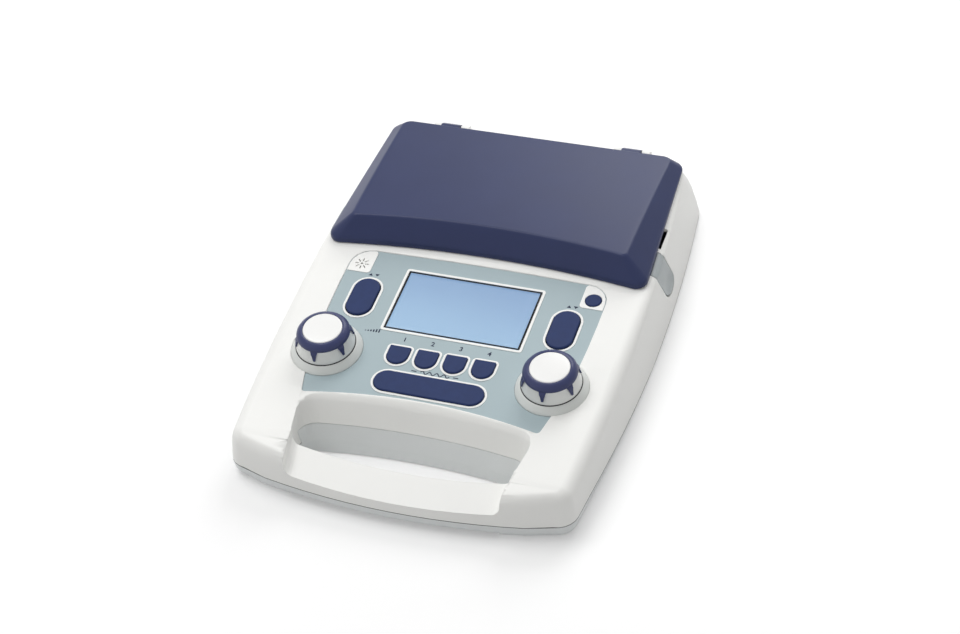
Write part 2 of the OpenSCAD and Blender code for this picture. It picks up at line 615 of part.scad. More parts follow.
module lower_casing() color([0.85, 0.87, 0.87]) resize([body_w, body_l, 0]) difference() {
    union() {
        difference() {
            solid_rings(pan_outer);
            solid_rings(pan_inner);
        }
        intersection() {
            solid_rings(pan_outer);
            scoop(2, floor_z + scoop_h);
        }
        hole_column(1);
        at_bosses() translate([0, 0, floor_z - 0.5]) cylinder(r = boss_r + 0.6, h = boss_z - floor_z + 0.5, $fn = 24);
        at_board_posts() translate([0, 0, floor_z - 0.5]) cylinder(r = 3, h = board_z - floor_z + 0.5, $fn = 24);
    }
    hand_hole();
    scoop(0, under_z + scoop_h);
    at_bosses() {
        translate([0, 0, -1]) cylinder(r = screw_r*2 + 0.2, h = 6, $fn = 24);
        cylinder(r = screw_r + 0.2, h = 30, $fn = 24);
    }
    at_board_posts() translate([0, 0, 5]) cylinder(r = 1.12, h = 10, $fn = 24);
    at_feet() translate([0, 0, -1]) cylinder(r = foot_r + slip, h = 1 + under_z + foot_in, $fn = 32);
}
scoop_l = 32;
foot_in = 1;

// ---------- control panel ----------
module panel_overlay() color([0.66, 0.72, 0.74]) on_panel() plate(overlay_w, 0) difference() {
    panel_shape(slip/2);
    surrounds(0.1);
    for (s = [-1, 1]) at_dial(s) circle(collar_r + slip, $fn = fine);
}
bushing_r = 4.5;
ear_u = rocker_w/2 + rocker_gap + 0.6;
ear_t = 2.4;
rocker_pin_w = carrier_w - 2.8;
board_posts = [[-55.8, -44], [55.8, -44], [-55.8, 34], [55.8, 34], [0, 35.5]];
module panel_carrier() color([0.97, 0.97, 0.96]) on_panel() difference() {
    union() {
        plate(carrier_w, overlay_w) panel_shape(carrier_inset);
        plate(carrier_w, surround_proud) intersection() {
            surrounds();
            panel_shape(land_inset);
        }
        for (p = board_posts) translate(p) plate(board_w, carrier_w + eps) circle(3, $fn = 32);
        for (s = [-1, 1]) at_rocker(s) for (e = [-1, 1]) translate([e*(ear_u + ear_t/2), 0, 0])
            plate(rocker_pin_w - 2.2, carrier_w + eps) square([ear_t, 5], center = true);
    }
    plate(-20, 5) key_openings();
    plate(-20, 5) round_rect(screen_w + 0.4 - 1, screen_h - 0.6, 0.8);
    plate(lens_w0 - 0.05, 5) round_rect(lens_w + 0.2, lens_h + 0.2, 1);
    for (s = [-1, 1]) at_dial(s) {
        plate(-20, 5) circle(bushing_r + 0.2, $fn = fine);
        plate(overlay_w, 5) circle(collar_r + slip, $fn = fine);
    }
    for (p = board_posts) translate(p) plate(board_w - 1, carrier_w - 1) circle(1.12, $fn = 24);
    at_mic() {
        plate(-20, 5) circle(0.9, $fn = 24);
        for (i = [0:7]) rotate(i*45) plate(-20, 5) translate([3.6, 0]) pill(3, 0.9);
    }
    for (s = [-1, 1]) at_rocker(s) translate([0, 0, rocker_pin_w]) rotate([0, 90, 0])
        cylinder(r = rocker_pin_r + 0.02, h = 60, center = true, $fn = 32);
}
lens_w0 = overlay_w - 0.3;
module screen_lens() color([0.75, 0.85, 0.95, 0.4]) on_panel()
    plate(lens_w0, surround_proud - 0.15) round_rect(lens_w, lens_h, 0.9);
module display_module() color([0.1, 0.1, 0.12]) on_panel()
    plate(carrier_w - slip - display_t, carrier_w - slip) round_rect(display_w, display_h, 1.5);
module rocker_pins() color([0.75, 0.75, 0.77]) on_panel() for (s = [-1, 1]) at_rocker(s)
    translate([0, 0, rocker_pin_w]) rotate([0, 90, 0])
        cylinder(r = rocker_pin_r, h = 2*(ear_u + ear_t) - 0.4, center = true, $fn = 32);

// ---------- keys ----------
// Solid with a rounded upper edge: a pill of length l and width w between w0 and w1
module edge_profile(r, w0, w1, e) {
    translate([0, w0]) square([r, w1 - w0 - e]);
    translate([0, w0]) square([r - e, w1 - w0]);
    translate([r - e, w1 - e]) circle(e, $fn = 32);
}
module round_disc(r, w0, w1, e) {
    rotate_extrude($fn = fine) intersection() {
        edge_profile(r, w0, w1, e);
        translate([0, w0 - 1]) square([r, w1 - w0 + 2]);
    }
}
module round_pill(l, w, w0, w1, e) {
    for (s = [-1, 1]) translate([s*(l - w)/2, 0, 0]) round_disc(w/2, w0, w1, e);
    rotate([90, 0, 90]) translate([0, 0, -(l - w)/2]) linear_extrude(l - w) {
        edge_profile(w/2, w0, w1, e);
        mirror([1, 0]) edge_profile(w/2, w0, w1, e);
    }
}
key_e = 0.9;
flange_g = 1.2;
flange_w1 = carrier_w - 0.05;
flange_w0 = flange_w1 - 1.3;
stem_w = board_w + 3.4;
module round_dee(w0, w1, e) {
    r = fkey_w/2;
    up = fkey_l - r;
    intersection() {
        translate([0, -up, 0]) {
            round_disc(r, w0, w1, e);
            rotate([90, 0, 180]) linear_extrude(up) {
                edge_profile(r, w0, w1, e);
                mirror([1, 0]) edge_profile(r, w0, w1, e);
            }
        }
        rotate([90, 0, 90]) translate([0, 0, -20]) linear_extrude(40) {
            translate([-30, 0]) edge_profile(30, w0, w1, e);
        }
        plate(w0 - 1, w1 + 1) dee(0);
    }
}
module function_key(i) color([0.2, 0.22, 0.42]) on_panel() at_fkey(i) {
    round_dee(carrier_w, key_proud, key_e);
    plate(flange_w0, flange_w1) dee(flange_g);
    plate(flange_w1 - eps, carrier_w + eps) dee(0);
    translate([0, -fkey_l/2, 0]) plate(stem_w, flange_w0 + eps) circle(2.5, $fn = 32);
}
module tone_bar() color([0.2, 0.22, 0.42]) on_panel() translate([0, bar_v, 0]) {
    round_pill(bar_l, bar_w, carrier_w, key_proud, key_e);
    plate(flange_w1 - eps, carrier_w + eps) pill(bar_l, bar_w);
    plate(flange_w0, flange_w1) pill(bar_l + 2*flange_g, bar_w + 2*flange_g);
    for (s = [-1, 1]) translate([s*bar_l/4, 0, 0]) plate(stem_w, flange_w0 + eps) circle(2.5, $fn = 32);
}
module power_button() color([0.2, 0.22, 0.42]) on_panel() at_power() {
    round_disc(power_r, carrier_w, key_proud - 0.5, key_e);
    plate(flange_w1 - eps, carrier_w + eps) circle(power_r, $fn = fine);
    plate(flange_w0, flange_w1) circle(power_r + flange_g, $fn = fine);
    plate(stem_w, flange_w0 + eps) circle(2.5, $fn = 32);
}
module rocker(s) color([0.2, 0.22, 0.42]) on_panel() at_rocker(s) difference() {
    union() {
        rotate(90) round_pill(rocker_l, rocker_w, carrier_w + 0.4, key_proud + 0.2, key_e);
        translate([0, 0, rocker_pin_w]) rotate([0, 90, 0])
            cylinder(r = rocker_pin_r + 1.3, h = rocker_w - 1, center = true, $fn = fine);
        plate(rocker_pin_w, carrier_w + 0.4 + eps) square([rocker_w - 1, 2*(rocker_pin_r + 1)], center = true);
        for (e = [-1, 1]) translate([0, e*rocker_l*0.3, 0]) plate(stem_w, carrier_w + 0.4 + eps) circle(2.2, $fn = 32);
    }
    translate([0, 0, rocker_pin_w]) rotate([0, 90, 0])
        cylinder(r = rocker_pin_r + run_gap, h = 60, center = true, $fn = 32);
}
module rocker_left() { rocker(-1); }
module rocker_right() { rocker(1); }
module function_key_1() { function_key(1); }
module function_key_2() { function_key(2); }
module function_key_3() { function_key(3); }
module function_key_4() { function_key(4); }

// ---------- dials ----------
module revolve(points) { rotate_extrude($fn = 96) polygon(points); }
skirt_w0 = collar_h + 0.4;
grip_w = dial_h - 4.6;
cone_w = skirt_w0 + 1.4;
function cone_r(w) = lerp(dial_r - 0.1, grip_r - 0.15, (w - cone_w)/(grip_w - cone_w));
module dial_collar(s) color([0.93, 0.93, 0.92]) on_panel() at_dial(s) revolve([[bushing_r + 0.2, overlay_w],
    [collar_r, overlay_w], [collar_r, 0.4], [collar_r - 0.5, 1.3], [collar_r - 1.5, 2.6],
    [dial_r + 1.4, collar_h - 0.7], [dial_r + 0.6, collar_h - 0.15], [dial_r - 0.4, collar_h],
    [bushing_r + 0.2, collar_h]]);
module dial_skirt(s) color([0.92, 0.92, 0.91]) on_panel() at_dial(s) revolve([
    [shaft_r + 0.02, skirt_w0 + 0.6], [shaft_r + 2.6, skirt_w0 + 0.6], [shaft_r + 2.8, grip_w - 1],
    [cap_r - 1.4, grip_w - 1], [dial_r - 2.6, skirt_w0 + 1.6], [dial_r - 2, skirt_w0], [dial_r, skirt_w0],
    [dial_r, cone_w - 0.4], [dial_r - 0.1, cone_w], [cone_r(grip_w), grip_w], [cone_r(grip_w) - 0.2, grip_w + 0.7],
    [cap_r + 0.6, grip_w + 2.6], [cap_r + 0.2, grip_w + 2.2], [cap_r + 0.2, grip_w + 1.4],
    [shaft_r + 0.02, grip_w + 1.4]]);
prong_w0 = skirt_w0 + 3;
module dial_grip(s) color([0.2, 0.2, 0.4]) on_panel() at_dial(s) {
    revolve([[cap_r + 0.15, grip_w + 2.9], [cap_r + 0.9, grip_w + 2.62], [cone_r(grip_w) - 0.05, grip_w + 0.74],
        [cone_r(grip_w) + 0.05, grip_w], [cone_r(grip_w - 0.5) + 0.05, grip_w - 0.5], [grip_r + 0.5, grip_w - 0.5], [grip_r + 0.75, grip_w + 0.2],
        [grip_r + 0.5, grip_w + 1.3], [grip_r - 0.6, grip_w + 2.9], [grip_r - 2.2, dial_h - 0.5],
        [cap_r + 0.9, dial_h - 0.1], [cap_r + 0.15, dial_h - 0.35]]);
    for (k = [0:prong_count - 1]) rotate(k*360/prong_count + 30) intersection() {
        revolve([[cone_r(prong_w0 - 1) + 0.05, prong_w0 - 1], [cone_r(prong_w0 - 1) + 0.8, prong_w0 - 1],
            [cone_r(grip_w - 2) + 1.35, grip_w - 2], [grip_r + 0.7, grip_w - 0.2], [cone_r(grip_w - 0.2) + 0.05, grip_w - 0.2]]);
        rotate([90, 0, 90]) linear_extrude(dial_r + 5) polygon([[-0.75, prong_w0], [0.75, prong_w0],
            [1.3, grip_w - 4], [2.6, grip_w], [-2.6, grip_w], [-1.3, grip_w - 4]]);
    }
}
module dial_cap(s) color([0.98, 0.98, 0.98]) on_panel() at_dial(s) revolve([[0, grip_w + 1.45],
    [cap_r, grip_w + 1.45], [cap_r, dial_h - 0.6], [cap_r - 0.3, dial_h - 0.2], [cap_r - 0.9, dial_h],
    [cap_r*0.7, dial_h + 0.18], [cap_r*0.35, dial_h + 0.3], [0, dial_h + 0.34]]);
module dial_shaft(s) color([0.75, 0.75, 0.78]) on_panel() at_dial(s)
    translate([0, 0, board_w + 3]) cylinder(r = shaft_r, h = grip_w + 0.9 - board_w - 3, $fn = fine);
encoder_top = carrier_w - 1.2;
module encoder(s) color([0.35, 0.37, 0.4]) on_panel() at_dial(s) difference() {
    union() {
        plate(board_w, encoder_top) round_rect(14, 14, 1);
        plate(encoder_top - eps, collar_h - 1.2) circle(bushing_r, $fn = fine);
    }
    plate(board_w + 2.8, 20) circle(shaft_r + run_gap, $fn = fine);
}
module dial_collar_left() { dial_collar(-1); }
module dial_collar_right() { dial_collar(1); }
module dial_skirt_left() { dial_skirt(-1); }
module dial_skirt_right() { dial_skirt(1); }
module dial_grip_left() { dial_grip(-1); }
module dial_grip_right() { dial_grip(1); }
module dial_cap_left() { dial_cap(-1); }
module dial_cap_right() { dial_cap(1); }
module dial_shaft_left() { dial_shaft(-1); }
module dial_shaft_right() { dial_shaft(1); }
module encoder_left() { encoder(-1); }
module encoder_right() { encoder(1); }

// ---------- inside ----------
keypad_size = [172, 108];
module keypad_shape(d = 0) { translate([0, -20]) round_rect(keypad_size.x - 2*d, keypad_size.y - 2*d, 4); }
module keypad_board() color([0.1, 0.4, 0.25]) on_panel() difference() {
    plate(board_w - board_t, board_w) keypad_shape();
    for (p = board_posts) translate(p) plate(-20, 0) circle(1.3, $fn = 24);
}
mat_t = 0.8;
dome_w = stem_w - max(key_travel + 0.35, bar_travel + 0.15);  // a dome gives way over the travel
module key_mat() color([0.55, 0.57, 0.6]) on_panel() difference() {
    union() {
        plate(board_w, board_w + mat_t) keypad_shape(3);
        for (i = [1:4]) at_fkey(i) translate([0, -fkey_l/2, 0]) dome();
        for (s = [-1, 1]) {
            translate([s*bar_l/4, bar_v, 0]) dome();
            for (e = [-1, 1]) at_rocker(s) translate([0, e*rocker_l*0.3, 0]) dome();
        }
        at_power() dome();
    }
    for (s = [-1, 1]) at_dial(s) plate(-20, 0) circle(11, $fn = 32);
    for (p = board_posts) translate(p) plate(-20, 0) circle(3.3, $fn = 32);
}
module dome() { translate([0, 0, board_w]) cylinder(r1 = 4.2, r2 = 2.8, h = dome_w - board_w, $fn = 32); }
module loudspeaker() color([0.15, 0.15, 0.16]) on_panel() at_mic() {
    plate(carrier_w - 2.3, carrier_w - slip) circle(8.5, $fn = fine);
    plate(carrier_w - 4.8, carrier_w - 2.3 + eps) circle(5.5, $fn = fine);
}
module main_board() color([0.1, 0.4, 0.25]) translate([0, board_y, board_z]) difference() {
    union() {
        translate([-board_size.x/2, -board_size.y/2, 0]) cube(board_size);
        for (p = [[-40, 5, 18], [5, 12, 14], [40, -8, 10], [-10, -22, 9], [60, 20, 8]])
            translate([p.x, p.y, board_size.z - eps]) translate([-p.z/2, -p.z/2, 0]) cube([p.z, p.z, 1.4]);
        for (p = [[62, -20], [-62, 22], [-66, -12], [28, 30]])
            translate([p.x, p.y, board_size.z - eps]) cylinder(r = 4, h = 8, $fn = 32);
    }
    for (x = [-1, 1], y = [-1, 1]) translate([x*(board_size.x/2 - 5), y*(board_size.y/2 - 5), -1])
        cylinder(r = 1.3, h = 5, $fn = 24);
}
module storage_tray() color([0.9, 0.9, 0.9]) on_tray() difference() {
    union() {
        plate(-tray_h - tray_wall, tray_lip_w) tray_shape(tray_wall);
        plate(tray_lip_w - tray_lip_t, tray_lip_w) tray_shape(tray_wall + tray_flange);
    }
    plate(-tray_h, 5) tray_shape(0);
}
socket_z = bay_z + socket_bay_h/2;
function socket_x(i) = (i - (socket_count + 1)/2)*socket_pitch + 10;
inlet_x = 13 - socket_bay_w/2;
jack_r = 3.25;
plate_t = 2;
module along_rear(x, y) { translate([x, y, socket_z]) rotate([-90, 0, 0]) children(); }
module socket_plate() color([0.3, 0.31, 0.33]) difference() {
    translate([-socket_bay_w/2 + slip, bay_y, bay_z + slip])
        cube([socket_bay_w - 2*slip, plate_t, socket_bay_h - 2*slip]);
    for (i = [1:socket_count]) along_rear(socket_x(i), bay_y - 5) cylinder(r = 5.6, h = 20, $fn = fine);
    along_rear(inlet_x, bay_y - 5) cylinder(r = 5.1, h = 20, $fn = fine);
}
module audio_socket(i) color([0.12, 0.12, 0.13]) difference() {
    union() {
        along_rear(socket_x(i), bay_y - 11) cylinder(r = 5.5, h = 11 + plate_t + 2.5, $fn = fine);
        along_rear(socket_x(i), bay_y + plate_t + 0.05) cylinder(r = 7, h = 1.5, $fn = fine);
    }
    along_rear(socket_x(i), bay_y - 9) cylinder(r = jack_r, h = 40, $fn = fine);
}
module audio_socket_1() { audio_socket(1); }
module audio_socket_2() { audio_socket(2); }
module audio_socket_3() { audio_socket(3); }
module audio_socket_4() { audio_socket(4); }
module audio_socket_5() { audio_socket(5); }
module power_inlet() color([0.12, 0.12, 0.13]) {
    difference() {
        union() {
            along_rear(inlet_x, bay_y - 9) cylinder(r = 5, h = 9 + plate_t + 1, $fn = fine);
            along_rear(inlet_x, bay_y + plate_t + 0.05) cylinder(r = 6.2, h = 1.2, $fn = fine);
        }
        along_rear(inlet_x, bay_y - 7) cylinder(r = 2.9, h = 40, $fn = fine);
    }
    along_rear(inlet_x, bay_y - 8) cylinder(r = 1, h = 8.5, $fn = 32);
}

// ---------- hinges ----------
pin_r = 2;
module cross_x(r, l) { rotate([0, 90, 0]) cylinder(r = r, h = l, center = true, $fn = fine); }
module hinge_brackets() color([0.9, 0.9, 0.9]) at_hinges() difference() {
    union() {
        for (s = [-1, 1]) translate([s*(arm_w + ear_w + 0.6)/2, 0, 0]) {
            cross_x(knuckle_r, ear_w);
            translate([-ear_w/2, -knuckle_r, -11 + slip]) cube([ear_w, 2*knuckle_r, 11 - slip]);
        }
        translate([-(arm_w + 2*ear_w + 0.6)/2, -8.5, -11 + slip]) cube([arm_w + 2*ear_w + 0.6, 12.5, 5]);
    }
    cross_x(pin_r + 0.02, 80);
}
module hinge_pins() color([0.75, 0.75, 0.77]) at_hinges() cross_x(pin_r, arm_w + 2*ear_w + 0.4);
arm_t = 2.2;
arm_lift = 4.2;
module lid_hinge_arms() color([0.2, 0.22, 0.42]) at_hinges() difference() {
    union() {
        cross_x(knuckle_r, arm_w);
        translate([-arm_w/2, -knuckle_r, 0]) cube([arm_w, 2*knuckle_r - 2.4, arm_lift + arm_t]);
        translate([-arm_w/2, -26, arm_lift]) cube([arm_w, 26, arm_t]);
    }
    cross_x(pin_r + run_gap, 80);
}

// ---------- latches ----------
module along_y(r, l) { rotate([90, 0, 0]) cylinder(r = r, h = l, center = true, $fn = 48); }
module latch() difference() {
    union() {
        latch_slab(0, 0, latch_t);
        translate([latch_pin_x, latch_pin_y, latch_pin_z]) {
            along_y(latch_pin_r + 1.5, latch_boss_l);
            translate([0, -latch_boss_l/2, -2]) cube([latch_t + 3.2, latch_boss_l, 4]);
        }
    }
    translate([latch_pin_x, latch_pin_y, latch_pin_z]) along_y(latch_pin_r + run_gap, 80);
}
module latch_right() color([0.66, 0.7, 0.71]) latch();
module latch_left() color([0.66, 0.7, 0.71]) mirror([1, 0, 0]) latch();
module latch_bracket() translate([latch_pin_x, latch_pin_y, latch_pin_z]) difference() {
    union() {
        for (s = [-1, 1]) translate([-6, s*(latch_boss_l + latch_ear + 0.6)/2 - latch_ear/2, -3]) cube([6, latch_ear, 6]);
        for (s = [-1, 1]) translate([0, s*(latch_boss_l + latch_ear + 0.6)/2, 0]) along_y(3, latch_ear);
        translate([-8, -latch_bracket_l/2, -4]) cube([2.4, latch_bracket_l, 8]);
        for (s = [-1, 1]) let (y = s*(latch_bracket_l/2 - 2))
            translate([-8, y - 2, -4]) cube([8 + inner_x(latch_pin_y + y + 2, latch_pin_z + 4) - slip - latch_pin_x, 4, 8]);
    }
    along_y(latch_pin_r + 0.02, 80);
}
module latch_brackets() color([0.9, 0.9, 0.9]) both_sides() latch_bracket();
module latch_pins() color([0.75, 0.75, 0.77]) both_sides() translate([latch_pin_x, latch_pin_y, latch_pin_z])
    along_y(latch_pin_r, latch_boss_l + 2*latch_ear + 0.4);

// ---------- lid ----------
lid_steps = 7;
function lid_half(hw0, hw1, yf, yr, bow, r0, r1) =
    let (c0 = [hw0, yf - bow], c1 = [hw1, yr], s0 = lerp(c0, c1, 0.1), s1 = lerp(c0, c1, 0.9))
    concat([for (i = [0:lid_steps - 1]) let (x = (hw0 - 1.15*r0)*i/lid_steps) [x, yf - bow*pow(x/hw0, 2)]],
        corner([hw0 - 1.15*r0, yf - bow*pow((hw0 - 1.15*r0)/hw0, 2)], c0, s0, r0, 4),
        [for (i = [1:lid_steps]) lerp(s0, s1, i/(lid_steps + 1))],
        corner(s1, c1, [0, yr], r1, 4),
        [for (i = [1:lid_steps]) [(hw1 - r1)*(1 - i/lid_steps), yr]]);
lid_base = mirrored([for (p = lid_half(lid_front_half_w, lid_rear_half_w, lid_front, lid_rear, lid_bow, 8, 9))
    [p.x, p.y + screen_y]]);
lid_deck = mirrored([for (p = lid_half(deck_front_half_w, deck_rear_half_w, lid_front + deck_back,
    lid_rear - 3, lid_bow, 3, 6)) [p.x, p.y + screen_y]]);
lid_normals = normals(lid_base);
deck_y0 = screen_y + lid_front + deck_back - lid_bow;
deck_fall = 1.9;
deck_arch = 1.3;
function deck_h(y) = let (t = (y - deck_y0)/(screen_y + lid_rear - 3 - deck_y0)) deck_z - deck_fall*t + 4*deck_arch*t*(1 - t);
function lid_ring(t, s, d = 0) = [for (i = [0:len(lid_base) - 1])
    let (p = lerp(lid_base[i], lid_deck[i], t) - lid_normals[i]*d)
    [p.x, p.y, lerp(top_z(p.y) + lid_gap, deck_h(p.y) - d, s)]];
lid_outer = [for (p = [[0.01, 0], [-0.01, 0.06], [0, 0.16], [0.05, 0.26], [0.84, 0.9], [0.93, 0.965], [1, 0.992]])
    lid_ring(p.x, p.y)];
lid_inner = [for (p = [[0, -0.001], [0, 0.2], [0.86, 0.96], [0.97, 1]]) lid_ring(p.x, p.y, lid_wall)];
// Deck: a grid stretched between the four sides of the top ring
lid_cf = lid_steps + 2;
lid_m = len(lid_base);
lid_u = 2*lid_cf;
lid_v = lid_m/2 - 2*lid_cf;
function deck_grid(ring, drop) = [for (j = [1:lid_v - 1], i = [1:lid_u - 1])
    let (u = i/lid_u, v = j/lid_v, f = ring[(i - lid_cf + lid_m)%lid_m], r = ring[lid_m/2 + lid_cf - i],
        l = ring[(lid_m - lid_cf - j)%lid_m], t = ring[lid_cf + j],
        fl = ring[lid_m - lid_cf], fr = ring[lid_cf], rl = ring[lid_m/2 + lid_cf], rr = ring[lid_m/2 - lid_cf],
        p = (1 - v)*f + v*r + (1 - u)*l + u*t - (1 - u)*(1 - v)*fl - u*(1 - v)*fr - (1 - u)*v*rl - u*v*rr)
    [p.x, p.y, deck_h(p.y) - drop]];
function deck_id(i, j, ring0, grid0) =
    j == 0 ? ring0 + (i - lid_cf + lid_m)%lid_m : j == lid_v ? ring0 + lid_m/2 + lid_cf - i :
    i == 0 ? ring0 + lid_m - lid_cf - j : i == lid_u ? ring0 + lid_cf + j :
    grid0 + (j - 1)*(lid_u - 1) + i - 1;
function deck_faces(ring0, grid0, flip) = [for (j = [0:lid_v - 1], i = [0:lid_u - 1])
    let (a = deck_id(i, j, ring0, grid0), b = deck_id(i + 1, j, ring0, grid0),
        c = deck_id(i + 1, j + 1, ring0, grid0), d = deck_id(i, j + 1, ring0, grid0))
    each flip ? [[a, b, c], [a, c, d]] : [[a, c, b], [a, d, c]]];
module lid_shell() {
    n = len(lid_outer);
    k = len(lid_inner);
    grid0 = (n + k)*lid_m;
    grid1 = grid0 + (lid_u - 1)*(lid_v - 1);
    polyhedron(points = concat([for (r = concat(lid_outer, lid_inner)) each r],
            deck_grid(lid_outer[n - 1], 0), deck_grid(lid_inner[k - 1], lid_wall)),
        faces = concat(wall_faces(lid_m, 0, n, false), deck_faces((n - 1)*lid_m, grid0, false),
            wall_faces(lid_m, n, k, true), deck_faces((n + k - 1)*lid_m, grid1, true),
            [for (i = [0:lid_m - 1]) let (j = (i + 1)%lid_m)
                each [[i, j, n*lid_m + j], [i, n*lid_m + j, n*lid_m + i]]]), convexity = 6);
}
module lid() color([0.2, 0.22, 0.42]) resize([2*lid_front_half_w, 0, 0]) difference() {
    lid_shell();
    at_hinges() translate([-arm_w/2 - 0.4, -30, -2]) cube([arm_w + 0.8, 30, arm_lift + arm_t + 2.4]);
}

// ---------- feet and screws ----------
module rubber_feet() color([0.25, 0.25, 0.26]) at_feet() {
    cylinder(r1 = foot_r - 0.6, r2 = foot_r, h = 0.6, $fn = fine);
    translate([0, 0, 0.6]) cylinder(r = foot_r, h = under_z + foot_in - 0.6, $fn = fine);
}
module screw(head_r, head_h, r, l) {
    difference() {
        translate([0, 0, -head_h]) cylinder(r = head_r, h = head_h, $fn = 32);
        translate([0, 0, -head_h - 1]) cylinder(r = head_r*0.45, h = 1 + head_h*0.6, $fn = 6);
    }
    translate([0, 0, -eps]) cylinder(r = r, h = l, $fn = 32);
}
module casing_screws() color([0.7, 0.7, 0.72]) at_bosses() translate([0, 0, 5]) screw(screw_r*1.85, 2.2, screw_r, 16);
module board_screws() color([0.7, 0.7, 0.72]) {
    on_panel() for (p = board_posts) translate([p.x, p.y, board_w - board_t]) screw(2.2, 1.5, 1.1, 6);
    at_board_posts() translate([0, 0, board_z + board_size.z]) mirror([0, 0, 1]) screw(2.2, 1.5, 1.1, 5);
}

upper_casing();
lower_casing();
panel_overlay();
panel_carrier();
dial_collar_left();
dial_collar_right();
screen_lens();
display_module();
key_mat();
keypad_board();
main_board();
loudspeaker();
encoder_left();
encoder_right();
storage_tray();
socket_plate();
audio_socket_1();
audio_socket_2();
audio_socket_3();
audio_socket_4();
audio_socket_5();
power_inlet();
hinge_brackets();
hinge_pins();
latch_brackets();
latch_pins();
rocker_pins();
rubber_feet();
casing_screws();
board_screws();
lid();
lid_hinge_arms();
latch_left();
latch_right();
rocker_left();
rocker_right();
function_key_1();
function_key_2();
function_key_3();
function_key_4();
tone_bar();
power_button();
dial_skirt_left();
dial_skirt_right();
dial_grip_left();
dial_grip_right();
dial_cap_left();
dial_cap_right();
dial_shaft_left();
dial_shaft_right();
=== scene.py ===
import json
import logging
import math
from dataclasses import dataclass
from enum import Enum
from functools import cache
from typing import Any, ClassVar

import bmesh
import bpy
import numpy as np
from bpy.types import ID, Material, Mesh, NodeSocket, Object, World
from mathutils import Matrix

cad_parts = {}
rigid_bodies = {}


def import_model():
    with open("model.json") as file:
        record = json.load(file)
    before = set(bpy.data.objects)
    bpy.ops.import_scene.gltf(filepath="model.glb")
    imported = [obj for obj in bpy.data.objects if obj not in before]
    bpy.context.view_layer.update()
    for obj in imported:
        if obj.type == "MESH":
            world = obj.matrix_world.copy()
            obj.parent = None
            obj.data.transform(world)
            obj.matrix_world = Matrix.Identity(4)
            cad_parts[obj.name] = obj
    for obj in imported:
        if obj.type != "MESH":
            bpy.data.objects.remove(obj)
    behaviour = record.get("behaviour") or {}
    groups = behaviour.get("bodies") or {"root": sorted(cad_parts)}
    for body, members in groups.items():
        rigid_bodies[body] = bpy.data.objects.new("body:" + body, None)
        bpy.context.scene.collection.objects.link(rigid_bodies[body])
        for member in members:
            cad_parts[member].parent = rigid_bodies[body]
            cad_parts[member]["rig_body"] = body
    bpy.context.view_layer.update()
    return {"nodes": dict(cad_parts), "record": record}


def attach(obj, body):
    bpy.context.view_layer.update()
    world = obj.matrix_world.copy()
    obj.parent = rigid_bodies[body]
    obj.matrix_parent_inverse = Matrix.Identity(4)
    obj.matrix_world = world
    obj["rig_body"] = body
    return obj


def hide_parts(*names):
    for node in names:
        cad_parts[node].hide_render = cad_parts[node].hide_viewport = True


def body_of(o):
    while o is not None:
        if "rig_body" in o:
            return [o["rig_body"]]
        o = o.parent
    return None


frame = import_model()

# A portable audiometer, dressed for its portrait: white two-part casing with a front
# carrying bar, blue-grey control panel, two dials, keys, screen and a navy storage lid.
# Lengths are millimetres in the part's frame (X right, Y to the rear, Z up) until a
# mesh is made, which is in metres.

MM = 0.001
SAME_MM = 0.002
LOG = logging.getLogger("audiometer")

Colour = tuple[float, float, float]
Points = np.ndarray
Faces = np.ndarray


def srgb(red: int, green: int, blue: int) -> Colour:
    """Linear colour of an 8-bit screen colour: ((c + 0.055) / 1.055) ** 2.4 above the toe."""
    levels = np.array([red, green, blue]) / 255.0
    linear = np.where(levels <= 0.04045, levels / 12.92, ((levels + 0.055) / 1.055) ** 2.4)
    return tuple(float(level) for level in linear)


def shade(colour: Colour, share: float) -> Colour:
    """The colour times share, held at 1."""
    return tuple(min(level * share, 1.0) for level in colour)


@dataclass(frozen=True)
class Seam:
    """Parting line of the casing halves: a slope between two level runs, in millimetres."""

    front_z: float = 10.4
    fall: float = 8.0
    start_y: float = -134.5
    run: float = 130.0
    gap: float = 0.35

    def height(self, y: Points) -> Points:
        """front_z - fall * t, where t goes from 0 to 1 over the run."""
        return self.front_z - self.fall * np.clip((y - self.start_y) / self.run, 0.0, 1.0)


SEAM = Seam()


# ---------------------------------------------------------------- shader graph


